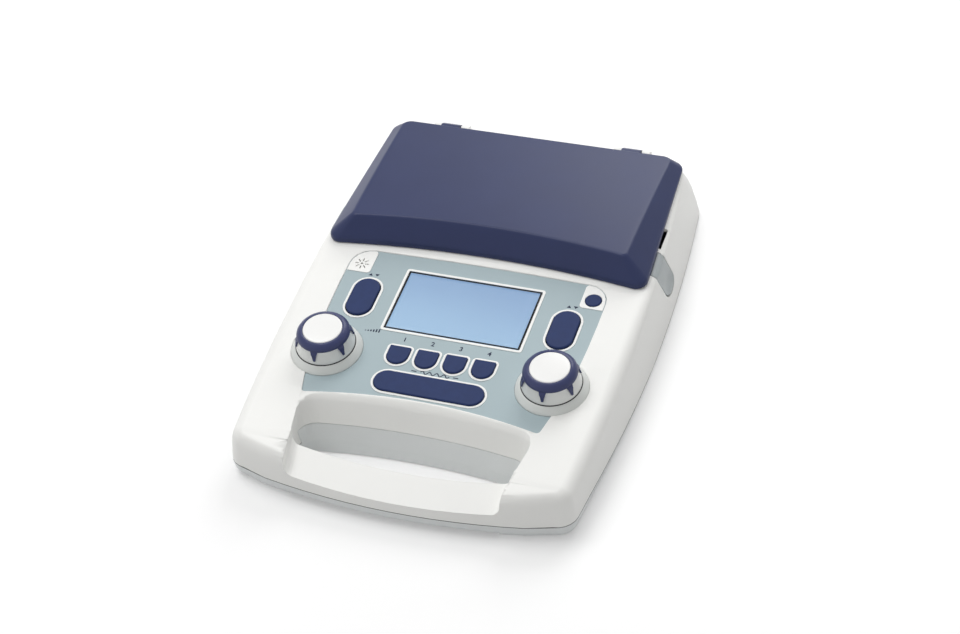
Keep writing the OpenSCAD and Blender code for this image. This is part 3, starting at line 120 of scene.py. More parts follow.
class Value:
    """A number or colour that changes over a surface, carried by one node output."""

    def __init__(self, graph: "Graph", socket: NodeSocket) -> None:
        """Keep the graph that the output belongs to, so an expression can add to it."""
        self.graph = graph
        self.socket = socket

    def _math(self, operation: str, *operands: "Value | float") -> "Value":
        """Add one Math node that works on the operands in order."""
        return self.graph.add("ShaderNodeMath", {"operation": operation}, dict(enumerate(operands)))

    def __add__(self, other: "Value | float") -> "Value":
        """Sum."""
        return self._math("ADD", self, other)

    def __sub__(self, other: "Value | float") -> "Value":
        """Difference."""
        return self._math("SUBTRACT", self, other)

    def __rsub__(self, other: float) -> "Value":
        """Difference from a number on the left."""
        return self._math("SUBTRACT", other, self)

    def __mul__(self, other: "Value | float") -> "Value":
        """Product."""
        return self._math("MULTIPLY", self, other)

    __radd__, __rmul__ = __add__, __mul__

    def __truediv__(self, other: "Value | float") -> "Value":
        """Quotient."""
        return self._math("DIVIDE", self, other)

    def sine(self) -> "Value":
        """Sine of the value in radians."""
        return self._math("SINE", self)

    def most(self, other: "Value | float") -> "Value":
        """The larger of the two."""
        return self._math("MAXIMUM", self, other)

    def least(self, other: "Value | float") -> "Value":
        """The smaller of the two."""
        return self._math("MINIMUM", self, other)

    def size(self) -> "Value":
        """The value without its sign."""
        return self._math("ABSOLUTE", self)

    def ramp(self, start: float, end: float) -> "Value":
        """Smooth step: 0 up to start, 1 from end on, with 3t^2 - 2t^3 between."""
        return self.graph.add(
            "ShaderNodeMapRange", {"interpolation_type": "SMOOTHSTEP"},
            {"Value": self, "From Min": start, "From Max": end})

    def tint(self, low: Colour, high: Colour) -> "Value":
        """Colour that goes from low at 0 to high at 1."""
        return self.graph.mix(self, low, high)


class Graph:
    """Node tree of one material or world, built from expressions."""

    def __init__(self, owner: Material | World) -> None:
        """Start an empty tree in a material or world."""
        self.owner = owner
        self.owner.use_nodes = True
        self.tree = self.owner.node_tree
        self.tree.nodes.clear()

    def add(self, kind: str, settings: dict[str, Any] | None = None,
            values: dict[str | int, Any] | None = None, output: str | int = 0) -> Value | None:
        """Make one node.

        Args:
            kind: the node's type.
            settings: its properties, set first.
            values: numbers, colours or links of its input sockets, by name or number.
            output: the output that is handed back.

        Returns:
            The chosen output, wrapped, or None for a node that has none.
        """
        node = self.tree.nodes.new(kind)
        for key, setting in (settings or {}).items():
            setattr(node, key, setting)
        for key, value in (values or {}).items():
            socket = node.inputs[key]
            if isinstance(value, Value):
                self.tree.links.new(value.socket, socket)
            elif socket.type == "RGBA" and len(value) == 3:
                socket.default_value = (*value, 1.0)
            else:
                socket.default_value = value
        return Value(self, node.outputs[output]) if len(node.outputs) else None

    def mix(self, share: Value | float, low: Any, high: Any) -> Value:
        """Colour mix: low where share is 0 and high where it is 1."""
        return self.add("ShaderNodeMix", {"data_type": "RGBA"}, {0: share, 6: low, 7: high}, 2)

    def place(self, scale: Colour = (1.0, 1.0, 1.0), turn: Colour = (0.0, 0.0, 0.0)) -> Value:
        """Object coordinates in metres, turned and scaled for a pattern."""
        here = self.add("ShaderNodeTexCoord", output="Object")
        return self.add("ShaderNodeMapping", {"vector_type": "POINT"},
                        {"Vector": here, "Scale": scale, "Rotation": turn})

    def axis(self, name: str, place: Value) -> Value:
        """One coordinate, X, Y or Z, of a place."""
        return self.add("ShaderNodeSeparateXYZ", values={"Vector": place}, output=name)

    def noise(self, place: Value, size_mm: float, detail: float = 2.0, rough: float = 0.5) -> Value:
        """Smooth noise from 0 to 1 whose lumps are size_mm wide."""
        return self.add("ShaderNodeTexNoise", {"noise_dimensions": "3D"},
                        {"Vector": place, "Scale": 1.0 / (size_mm * MM), "Detail": detail,
                         "Roughness": rough})

    def cells(self, place: Value, size_mm: float) -> Value:
        """Distance to the middle of the nearest cell, of cells that are size_mm wide."""
        return self.add("ShaderNodeTexVoronoi", {"feature": "F1"},
                        {"Vector": place, "Scale": 1.0 / (size_mm * MM)}, "Distance")

    def bump(self, height: Value, depth_mm: float) -> Value:
        """Normal of a relief: a height of 1 stands depth_mm out."""
        return self.add("ShaderNodeBump", values={
            "Height": height, "Distance": depth_mm * MM, "Strength": 1.0})

    def surface(self, **sockets: Any) -> Value:
        """Principled surface; an underscore in a name stands for a space in the socket's."""
        values = {key.replace("_", " "): value for key, value in sockets.items()}
        return self.add("ShaderNodeBsdfPrincipled", values=values)

    def finish(self, shader: Value, kind: str = "ShaderNodeOutputMaterial") -> Any:
        """Join the shader to an output of that kind and hand the owner back."""
        self.add(kind, values={"Surface": shader})
        return self.owner


# ---------------------------------------------------------------- finishes


@dataclass(frozen=True)
class Coating:
    """What every finish has: a way to make its material under a name."""

    def start(self, name: str) -> tuple[Graph, Value]:
        """Graph of a new material, and Object coordinates in it."""
        graph = Graph(bpy.data.materials.new(name))
        return graph, graph.place()

    def make(self, name: str) -> Material:
        """Build the material."""
        raise NotImplementedError


@dataclass(frozen=True)
class Moulding(Coating):
    """Moulded plastic: spark-eroded grain, faint mottling, and soft marks from handling.

    Where seam is not 0 it is the depth of the shadow that the parting line leaves.
    """

    colour: Colour
    roughness: float = 0.4
    grain_mm: float = 0.5
    grain_depth_mm: float = 0.01
    mottle: float = 0.03
    marks: float = 0.06
    coat: float = 0.0
    specular: float = 0.5
    seam: float = 0.0

    def parting(self, graph: Graph, here: Value) -> Value:
        """Shadow of the parting line: 1 within 0.3 mm of its height, 0 from 0.6 mm on."""
        share = ((graph.axis("Y", here) / MM - SEAM.start_y) / SEAM.run).most(0.0).least(1.0)
        off = graph.axis("Z", here) / MM - SEAM.front_z + SEAM.fall * share
        return 1.0 - off.size().ramp(0.3, 0.6)

    def make(self, name: str) -> Material:
        """Grain is noise in a fine and a coarse size; marks are noise stretched along X."""
        graph, here = self.start(name)
        cloud = graph.noise(here, 46.0, 3.0, 0.55)
        speck = graph.noise(here, 1.3, 2.0, 0.6)
        base = (0.8 * cloud + 0.2 * speck).ramp(0.3, 0.7).tint(
            shade(self.colour, 1.0 - self.mottle), shade(self.colour, 1.0 + self.mottle))
        if self.seam:
            base = graph.mix(self.parting(graph, here) * self.seam, base, (0.02, 0.02, 0.022))
        scuff = graph.noise(graph.place((0.12, 1.0, 1.0), (0.0, 0.0, 0.5)), 2.4, 4.0, 0.65)
        wear = scuff.ramp(0.58, 0.74) * cloud.ramp(0.42, 0.62)
        rough = self.roughness + self.marks * (cloud - 0.5) + self.marks * wear
        grain = graph.noise(here, self.grain_mm, 2.0, 0.5) * 0.7 + graph.noise(
            here, self.grain_mm * 3.1, 1.0, 0.5) * 0.3
        return graph.finish(graph.surface(
            Base_Color=base, Roughness=rough, Normal=graph.bump(grain, self.grain_depth_mm),
            Coat_Weight=self.coat, Coat_Roughness=0.22, Specular_IOR_Level=self.specular))


@dataclass(frozen=True)
class PrintedFilm(Coating):
    """Screen-printed polyester film with a fine velvet texture."""

    colour: Colour
    roughness: float = 0.46

    def make(self, name: str) -> Material:
        """Velvet is cells 0.28 mm wide; the ink's density drifts by a few percent."""
        graph, here = self.start(name)
        drift = graph.noise(here, 70.0, 2.0, 0.5)
        speckle = graph.noise(here, 0.45, 2.0, 0.7)
        base = (0.7 * drift + 0.3 * speckle).ramp(0.32, 0.68).tint(
            shade(self.colour, 0.955), shade(self.colour, 1.03))
        velvet = graph.cells(here, 0.28) * 0.6 + graph.noise(here, 0.6, 2.0, 0.5) * 0.4
        touch = graph.noise(here, 17.0, 3.0, 0.6).ramp(0.55, 0.8)
        return graph.finish(graph.surface(
            Base_Color=base, Roughness=self.roughness - 0.07 * touch + 0.05 * speckle,
            Normal=graph.bump(velvet, 0.006)))


@dataclass(frozen=True)
class SoftKey(Coating):
    """Silicone key top: matt, with skin oil that polishes the middle in patches."""

    colour: Colour
    roughness: float = 0.5
    specular: float = 0.35

    def make(self, name: str) -> Material:
        """Polish follows noise 6 mm wide; the skin is a fine grain with rare dust specks."""
        graph, here = self.start(name)
        polish = graph.noise(here, 6.0, 3.0, 0.55)
        dust = graph.cells(here, 1.9).ramp(0.09, 0.03) * graph.noise(here, 5.0).ramp(0.5, 0.65)
        clean = polish.ramp(0.3, 0.7).tint(shade(self.colour, 0.9), self.colour)
        base = graph.mix(dust * 0.18, clean, (0.28, 0.28, 0.33))
        skin = graph.noise(here, 0.35, 2.0, 0.5) + dust * 0.5
        return graph.finish(graph.surface(
            Base_Color=base, Roughness=self.roughness + 0.12 * (polish - 0.5),
            Normal=graph.bump(skin, 0.008), Specular_IOR_Level=self.specular))


@dataclass(frozen=True)
class Metal(Coating):
    """Drawn or plated metal with fine lines along one axis."""

    colour: Colour
    roughness: float = 0.28
    along: str = "X"

    def make(self, name: str) -> Material:
        """Lines are noise drawn out over thirty times along the drawing direction."""
        graph, here = self.start(name)
        stretch = tuple(0.03 if axis == self.along else 1.0 for axis in "XYZ")
        lines = graph.noise(graph.place(stretch), 0.22, 3.0, 0.6)
        tarnish = graph.noise(here, 3.5, 4.0, 0.6)
        base = (0.5 * lines + 0.5 * tarnish).ramp(0.3, 0.7).tint(
            shade(self.colour, 0.82), self.colour)
        return graph.finish(graph.surface(
            Base_Color=base, Metallic=1.0 - 0.12 * tarnish.ramp(0.62, 0.8),
            Roughness=self.roughness + 0.14 * (lines - 0.5) + 0.1 * (tarnish - 0.5),
            Normal=graph.bump(lines, 0.004)))


@dataclass(frozen=True)
class SolderMask(Coating):
    """Green circuit board: mask over copper tracks on a square grid, with flux haze."""

    colour: Colour = (0.012, 0.12, 0.05)

    def make(self, name: str) -> Material:
        """Tracks are 2.54 mm sine bands in X and Y, picked by blocks of noise."""
        graph, here = self.start(name)
        turns = 2.0 * math.pi / (2.54 * MM)
        across = (graph.axis("X", here) * turns).sine().ramp(0.55, 0.7)
        upward = (graph.axis("Y", here) * turns).sine().ramp(0.55, 0.7)
        pick = graph.noise(here, 14.0, 1.0).ramp(0.48, 0.52)
        tracks = across * pick + upward * (1.0 - pick)
        haze = graph.noise(here, 9.0, 4.0, 0.6)
        base = (0.75 * tracks + 0.25 * haze).tint(self.colour, shade(self.colour, 2.1))
        return graph.finish(graph.surface(
            Base_Color=base, Roughness=0.32 + 0.2 * haze, Normal=graph.bump(tracks, 0.03)))


@dataclass(frozen=True)
class Rubber(Coating):
    """Moulded rubber: dark, chalky, with a pebbled skin."""

    colour: Colour = (0.045, 0.045, 0.05)

    def make(self, name: str) -> Material:
        """Pebbles are 0.7 mm cells; bloom is pale noise that also roughens the skin."""
        graph, here = self.start(name)
        bloom = graph.noise(here, 4.0, 4.0, 0.6).ramp(0.4, 0.75)
        base = bloom.tint(self.colour, shade(self.colour, 1.9))
        return graph.finish(graph.surface(
            Base_Color=base, Roughness=0.72 + 0.15 * bloom,
            Normal=graph.bump(graph.cells(here, 0.7), 0.04)))


@dataclass(frozen=True)
class LitScreen(Coating):
    """Liquid crystal picture: a pale blue that lightens downwards, cut by its pixel grid."""

    top: Colour
    foot: Colour
    middle_y: float
    half_v: float
    pixel_mm: float = 0.3

    def make(self, name: str) -> Material:
        """Glow follows (y - middle) / height, X and noise; the grid is dark where a sine peaks."""
        graph, here = self.start(name)
        rise = (graph.axis("Y", here) - self.middle_y * MM) / (2.0 * self.half_v * MM) + 0.5
        side = graph.axis("X", here) * 3.0
        cloud = graph.noise(here, 60.0, 1.0)
        glow = (rise + side * 0.6 + (cloud - 0.5) * 0.35).ramp(-0.1, 1.15)
        turns = 2.0 * math.pi / (self.pixel_mm * MM)
        grid = (graph.axis("X", here) * turns).sine().most(
            (graph.axis("Y", here) * turns).sine()).ramp(0.8, 1.0)
        picture = graph.mix(grid * 0.1, glow.tint(self.foot, self.top), (0.08, 0.12, 0.2))
        return graph.finish(graph.surface(
            Base_Color=(0.02, 0.025, 0.03), Roughness=0.35 + 0.1 * grid,
            Emission_Color=picture, Emission_Strength=1.0, Specular_IOR_Level=0.2))


@dataclass(frozen=True)
class ClearLens(Coating):
    """Hard-coated clear acrylic with faint wipe marks."""

    def make(self, name: str) -> Material:
        """Wipe marks are stretched noise in the roughness alone."""
        graph = Graph(bpy.data.materials.new(name))
        wipe = graph.noise(graph.place((0.15, 1.0, 1.0), (0.0, 0.0, 0.7)), 3.0, 4.0, 0.6)
        return graph.finish(graph.surface(
            Base_Color=(0.98, 0.99, 1.0), Roughness=0.02 + 0.07 * wipe.ramp(0.55, 0.8),
            Transmission_Weight=1.0, IOR=1.46, Normal=graph.bump(wipe, 0.0008)))


@dataclass(frozen=True)
class Ink(Coating):
    """Printed ink: slightly uneven film with a broken gloss."""

    colour: Colour
    roughness: float = 0.5

    def make(self, name: str) -> Material:
        """Density follows noise 0.3 mm wide, like the dots of a screen print."""
        graph, here = self.start(name)
        dots = graph.noise(here, 0.3, 2.0, 0.6)
        base = dots.ramp(0.3, 0.7).tint(shade(self.colour, 0.8), shade(self.colour, 1.25))
        return graph.finish(graph.surface(
            Base_Color=base, Roughness=self.roughness + 0.12 * (dots - 0.5),
            Normal=graph.bump(dots, 0.003), Specular_IOR_Level=0.2))


@dataclass(frozen=True)
class StudioSheet(Coating):
    """Seamless white floor: takes the shadow, and reads as white to camera and gloss."""

    paper: float = 0.78
    near: float = 0.22
    far: float = 0.8

    def make(self, name: str) -> Material:
        """Matt paper plus a lift for seen rays that grows from 0.3 to 1.8 m out, as lamps fade."""
        graph, here = self.start(name)
        away = graph.add("ShaderNodeVectorMath", {"operation": "LENGTH"}, {0: here}, "Value")
        paper = graph.noise(here, 30.0).tint((self.paper,) * 3, (self.paper + 0.01,) * 3)
        matt = graph.surface(Base_Color=paper, Roughness=0.3, Specular_IOR_Level=0.4)
        lift = graph.add("ShaderNodeEmission", values={
            "Color": away.ramp(0.3, 1.8).tint((self.near,) * 3, (self.far,) * 3),
            "Strength": camera_share(graph)})
        return graph.finish(graph.add("ShaderNodeAddShader", values={0: matt, 1: lift}))


def camera_share(graph: Graph) -> Value:
    """1 for camera, glossy and transmission rays and 0 for the rest."""
    kinds = [graph.add("ShaderNodeLightPath", output=f"Is {kind} Ray")
             for kind in ("Camera", "Glossy", "Transmission")]
    return kinds[0].most(kinds[1]).most(kinds[2])


class Finish(Enum):
    """Every finish of the device, by the record's name of its material slot."""

    casing_white = Moulding(srgb(243, 243, 240), 0.42, 0.45, 0.007, 0.012, seam=0.8)
    base_grey = Moulding(srgb(226, 229, 229), 0.45, 0.5, 0.01, 0.015)
    carrier_white = Moulding(srgb(246, 246, 243), 0.38, 0.4, 0.005, 0.01)
    panel_print = PrintedFilm(srgb(163, 180, 185))
    dial_body = Moulding(srgb(226, 228, 226), 0.24, 0.35, 0.003, 0.015, coat=0.4)
    collar_grey = Moulding(srgb(222, 225, 222), 0.4, 0.4, 0.005, 0.015)
    dial_cap = Moulding(srgb(243, 243, 241), 0.3, 0.35, 0.003, 0.008, coat=0.2)
    dial_grip = Moulding(srgb(44, 52, 96), 0.34, 0.3, 0.006, 0.06, specular=0.4)
    lid_navy = Moulding(srgb(43, 52, 90), 0.36, 0.45, 0.006, 0.05, specular=0.26)
    latch_grey = Moulding(srgb(168, 175, 177), 0.42, 0.45, 0.008, 0.02)
    key_navy = SoftKey(srgb(40, 55, 98), specular=0.16)
    lens = ClearLens()
    display = Moulding((0.02, 0.02, 0.025), 0.3, 0.5, 0.004)
    silicone = SoftKey((0.27, 0.28, 0.3), 0.6)
    circuit_board = SolderMask()
    foot_rubber = Rubber()
    socket_black = Moulding((0.014, 0.014, 0.016), 0.34, 0.3, 0.01, 0.2)
    plate_grey = Moulding((0.075, 0.08, 0.085), 0.46, 0.45, 0.012, 0.05)
    encoder_metal = Metal((0.42, 0.43, 0.45), 0.36, "Z")
    steel = Metal((0.62, 0.62, 0.63))
    # black for painted shade: the cord in the casing seam and the rings under the dial skirts
    seal_black = Rubber((0.012, 0.012, 0.014))
    picture = LitScreen(srgb(126, 160, 200), srgb(152, 188, 220), -25.0, 27.0)
    print_dark = Ink(srgb(44, 52, 74))
    border_black = Ink((0.006, 0.006, 0.008), 0.3)
    contact_steel = Metal((0.72, 0.7, 0.66), 0.2, "Y")

    @cache
    def material(self) -> Material:
        """The finish's material, made on first use."""
        return self.value.make(self.name)


# ---------------------------------------------------------------- surfaces


def link(name: str, data: ID) -> Object:
    """Put a new object with that data into the scene."""
    thing = bpy.data.objects.new(name, data)
    bpy.context.scene.collection.objects.link(thing)
    return thing


def grid_faces(rows: int, columns: int, closed: bool = False, start: int = 0) -> Faces:
    """Quads of a grid of points held row by row.

    Args:
        rows: number of rows.
        columns: number of points in a row.
        closed: whether the last column joins the first.
        start: number of the first point.

    Returns:
        One row of four point numbers for each quad: (r, c), (r, c+1), (r+1, c+1), (r+1, c).
    """
    row, column = np.meshgrid(np.arange(rows - 1), np.arange(columns - (not closed)), indexing="ij")
    after = (column + 1) % columns
    low, high = row * columns, (row + 1) * columns
    quads = np.stack([low + column, low + after, high + after, high + column], -1)
    return quads.reshape(-1, 4) + start


def make_mesh(name: str, points: Points, faces: list[Faces], sharp: float = 40.0) -> Mesh:
    """Mesh of points in millimetres.

    Args:
        name: name of the mesh.
        points: n by 3 array.
        faces: arrays of point numbers, one for each face size.
        sharp: edges that turn by more degrees stay sharp.

    Returns:
        The mesh in metres, smoothly shaded.
    """
    mesh = bpy.data.meshes.new(name)
    rows = [face for group in faces for face in group.tolist()]
    mesh.from_pydata((points * MM).tolist(), [], rows)
    mesh.update()
    soften(mesh, sharp)
    return mesh


def soften(mesh: Mesh, sharp: float) -> None:
    """Shade smoothly, but keep edges that turn by more than that many degrees."""
    mesh.shade_smooth()
    mesh.set_sharp_from_angle(angle=math.radians(sharp))


def revolve(profile: Points, steps: int = 160) -> tuple[Points, Faces]:
    """Closed surface of revolution: (r cos a, r sin a, h) for each profile point (r, h).

    Args:
        profile: n by 2 closed outline, anticlockwise seen with r to the right.
        steps: number of turns of the profile.

    Returns:
        Points and quads.
    """
    angle = np.linspace(0.0, 2.0 * math.pi, steps, endpoint=False)
    radius, height = profile[:, 0], profile[:, 1]
    points = np.stack([np.outer(np.cos(angle), radius), np.outer(np.sin(angle), radius),
                       np.broadcast_to(height, (steps, len(height)))], -1)
    index = np.arange(steps * len(profile)).reshape(steps, len(profile))
    ahead, above = np.roll(index, -1, 0), np.roll(index, -1, 1)
    quads = np.stack([index, ahead, np.roll(ahead, -1, 1), above], -1).reshape(-1, 4)
    return points.reshape(-1, 3), quads


def chaikin(line: Points, rounds: int = 3) -> Points:
    """Cut each corner of an open line at a quarter of its sides, the ends held, rounds times."""
    for _ in range(rounds):
        near = 0.75 * line[:-1] + 0.25 * line[1:]
        far = 0.25 * line[:-1] + 0.75 * line[1:]
        cut = np.stack([near, far], 1).reshape(-1, line.shape[1])
        line = np.concatenate([line[:1], cut[1:-1], line[-1:]])
    return line


def ribbon(line: Points, width: float) -> tuple[Points, Faces]:
    """Flat band: points half a width to either side of an open line, along its normal."""
    step = np.gradient(line, axis=0)
    normal = np.stack([-step[:, 1], step[:, 0]], 1) / np.linalg.norm(step, axis=1)[:, None]
    flat = np.stack([line + normal * width / 2, line - normal * width / 2], 0)
    return flat.reshape(-1, 2), grid_faces(2, len(line))[:, ::-1]


@dataclass(frozen=True)
class PanelFrame:
    """Frame of the sloping panel: u to the right, v up the slope, w out of it."""

    y: float = -24.5
    z: float = 45.4
    tilt: float = 5.0

    def place(self, points: Points) -> Points:
        """(u, v, w) to (x, y, z): turn by the tilt about X, then shift to the screen centre."""
        turn = math.radians(self.tilt)
        u, v, w = points[:, 0], points[:, 1], points[:, 2]
        return np.stack([u, self.y + v * math.cos(turn) - w * math.sin(turn),
                         self.z + v * math.sin(turn) + w * math.cos(turn)], 1)

    def flat(self, points: Points, w: float) -> Points:
        """(u, v) points at height w over the panel."""
        return self.place(np.column_stack([points, np.full(len(points), w)]))


PANEL = PanelFrame()


# ---------------------------------------------------------------- sub-assemblies


class SubAssembly:
    """Pieces that come apart together, with the ways they are made and dressed."""

    slots: ClassVar[dict[str, str]] = {
        part["node"]: part["material_slot"] for part in frame["record"]["subparts"]}

    def slot_of(self, node: str) -> Finish:
        """Finish that the record gives to a CAD node."""
        return Finish[self.slots[node]]

    def add(self, name: str, mesh: Mesh, body: str, finish: Finish) -> Object:
        """Put a mesh into the scene as a piece that rides on a body."""
        piece = link(name, mesh)
        mesh.materials.clear()
        mesh.materials.append(finish.material())
        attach(piece, body)
        LOG.info("%s: %d points, %s", name, len(mesh.vertices), finish.name)
        return piece

    def carry(self, node: str, sharp: float = 30.0, edge_mm: float = 0.0,
              finish: Finish | None = None, level: float = 0.2) -> Object:
        """Stand a merged, smoothly shaded copy in for a CAD node.

        Args:
            node: name of the CAD node.
            sharp: edges that turn by more degrees stay sharp.
            edge_mm: width of a bevel on those edges, 0 for none.
            finish: finish other than the record's.
            level: faces that turn by fewer degrees become one.

        Returns:
            The copy.
        """
        source = frame["nodes"][node]
        mesh = source.data.copy()
        work = bmesh.new()
        work.from_mesh(mesh)
        bmesh.ops.remove_doubles(work, verts=work.verts, dist=SAME_MM * MM)
        bmesh.ops.dissolve_limit(work, angle_limit=math.radians(level), verts=work.verts,
                                 edges=work.edges)
        work.to_mesh(mesh)
        work.free()
        soften(mesh, sharp)
        copy = self.add(f"{node}_dressed", mesh, body_of(source)[0],
                        finish or self.slot_of(node))
        if edge_mm:
            bevel = copy.modifiers.new("edge", "BEVEL")
            bevel.width, bevel.segments = edge_mm * MM, 2
            bevel.limit_method, bevel.angle_limit = "ANGLE", math.radians(sharp)
            bevel.use_clamp_overlap = False
        flow = copy.modifiers.new("flow", "WEIGHTED_NORMAL")
        flow.keep_sharp, flow.mode = True, "FACE_AREA"
        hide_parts(node)
        return copy

    def paint(self, *nodes: str) -> None:
        """Give CAD nodes that stay as they are the finish of their slot."""
        for node in nodes:
            slots = frame["nodes"][node].data.materials
            slots.clear()
            slots.append(self.slot_of(node).material())
            LOG.info("%s: painted %s", node, self.slots[node])

    def sheet(self, mesh: Mesh, finish: Finish, thick_mm: float) -> Object:
        """Put a flat mesh on the housing and let Solidify give it thickness behind its face."""
        piece = self.add(mesh.name, mesh, "housing", finish)
        wall = piece.modifiers.new("sheet", "SOLIDIFY")
        wall.thickness, wall.offset = thick_mm * MM, -1.0
        return piece

    def build(self) -> None:
        """Make and dress every piece."""
        raise NotImplementedError


def mesh_points(mesh: Mesh) -> Points:
    """Points of a mesh in millimetres."""
    co = np.empty(len(mesh.vertices) * 3)
    mesh.vertices.foreach_get("co", co)
    return co.reshape(-1, 3) / MM


def hull(flat: Points) -> Points:
    """Convex outline of plan points, anticlockwise: a chain from each end that only turns left."""
    order = flat[np.lexsort((flat[:, 1], flat[:, 0]))]

    def chain(run: Points) -> list[Points]:
        """Points of a run that its outline keeps, without the last."""
        kept: list[Points] = []
        for point in run:
            while len(kept) > 1:
                (a, b), (c, d) = kept[-1] - kept[-2], point - kept[-1]
                if a * d - b * c > 0.0:
                    break
                kept.pop()
            kept.append(point)
        return kept[:-1]

    return np.array(chain(order) + chain(order[::-1]))


def outward(ring: Points) -> Points:
    """Unit normals of a closed anticlockwise outline, square to the chord of its neighbours."""
    run = np.roll(ring, -1, 0) - np.roll(ring, 1, 0)
    return np.stack([run[:, 1], -run[:, 0]], 1) / np.linalg.norm(run, axis=1)[:, None]


@dataclass
class CasingShells(SubAssembly):
    """Upper and lower casing halves with what is fixed to them outside."""

    # thickness of the black cord in the seam, which is painted shade of the gap
    seal_t: float = 0.3
    outer: float = 0.04
    inner: float = 0.5
    foot_slack: float = 0.02

    def seal(self) -> None:
        """Painted shade: a black cord in the seam that stands in for the shadow in the gap between
        the halves; a box section, outer to inner mm inside the upper half's foot.
        """
        foot = mesh_points(frame["nodes"]["upper_casing"].data)
        above = foot[:, 2] - SEAM.height(foot[:, 1]) - SEAM.gap / 2
        line = hull(foot[np.abs(above) < self.foot_slack, :2])
        normal = outward(line)
        rings = []
        for inset, rise in ((self.outer, -1), (self.outer, 1), (self.inner, 1), (self.inner, -1),
                            (self.outer, -1)):
            plan = line - normal * inset
            rings.append(np.column_stack([plan, SEAM.height(plan[:, 1]) + rise * self.seal_t / 2]))
        mesh = make_mesh("seam_seal", np.concatenate(rings), [grid_faces(5, len(line), True)])
        weld(mesh)
        self.add(mesh.name, mesh, "housing", Finish.seal_black)

    def build(self) -> None:
        """Carry the two halves and what is fixed to them, and lay the black cord of painted shade
        between.
        """
        self.carry("upper_casing", 28.0, level=0.001)
        self.carry("lower_casing", 28.0)
        # black cord in the seam: painted shade of the gap between the halves
        self.seal()
        for node in ("storage_tray", "rubber_feet", "casing_screws", "hinge_brackets",
                     "hinge_pins", "latch_brackets", "latch_pins"):
            self.carry(node)


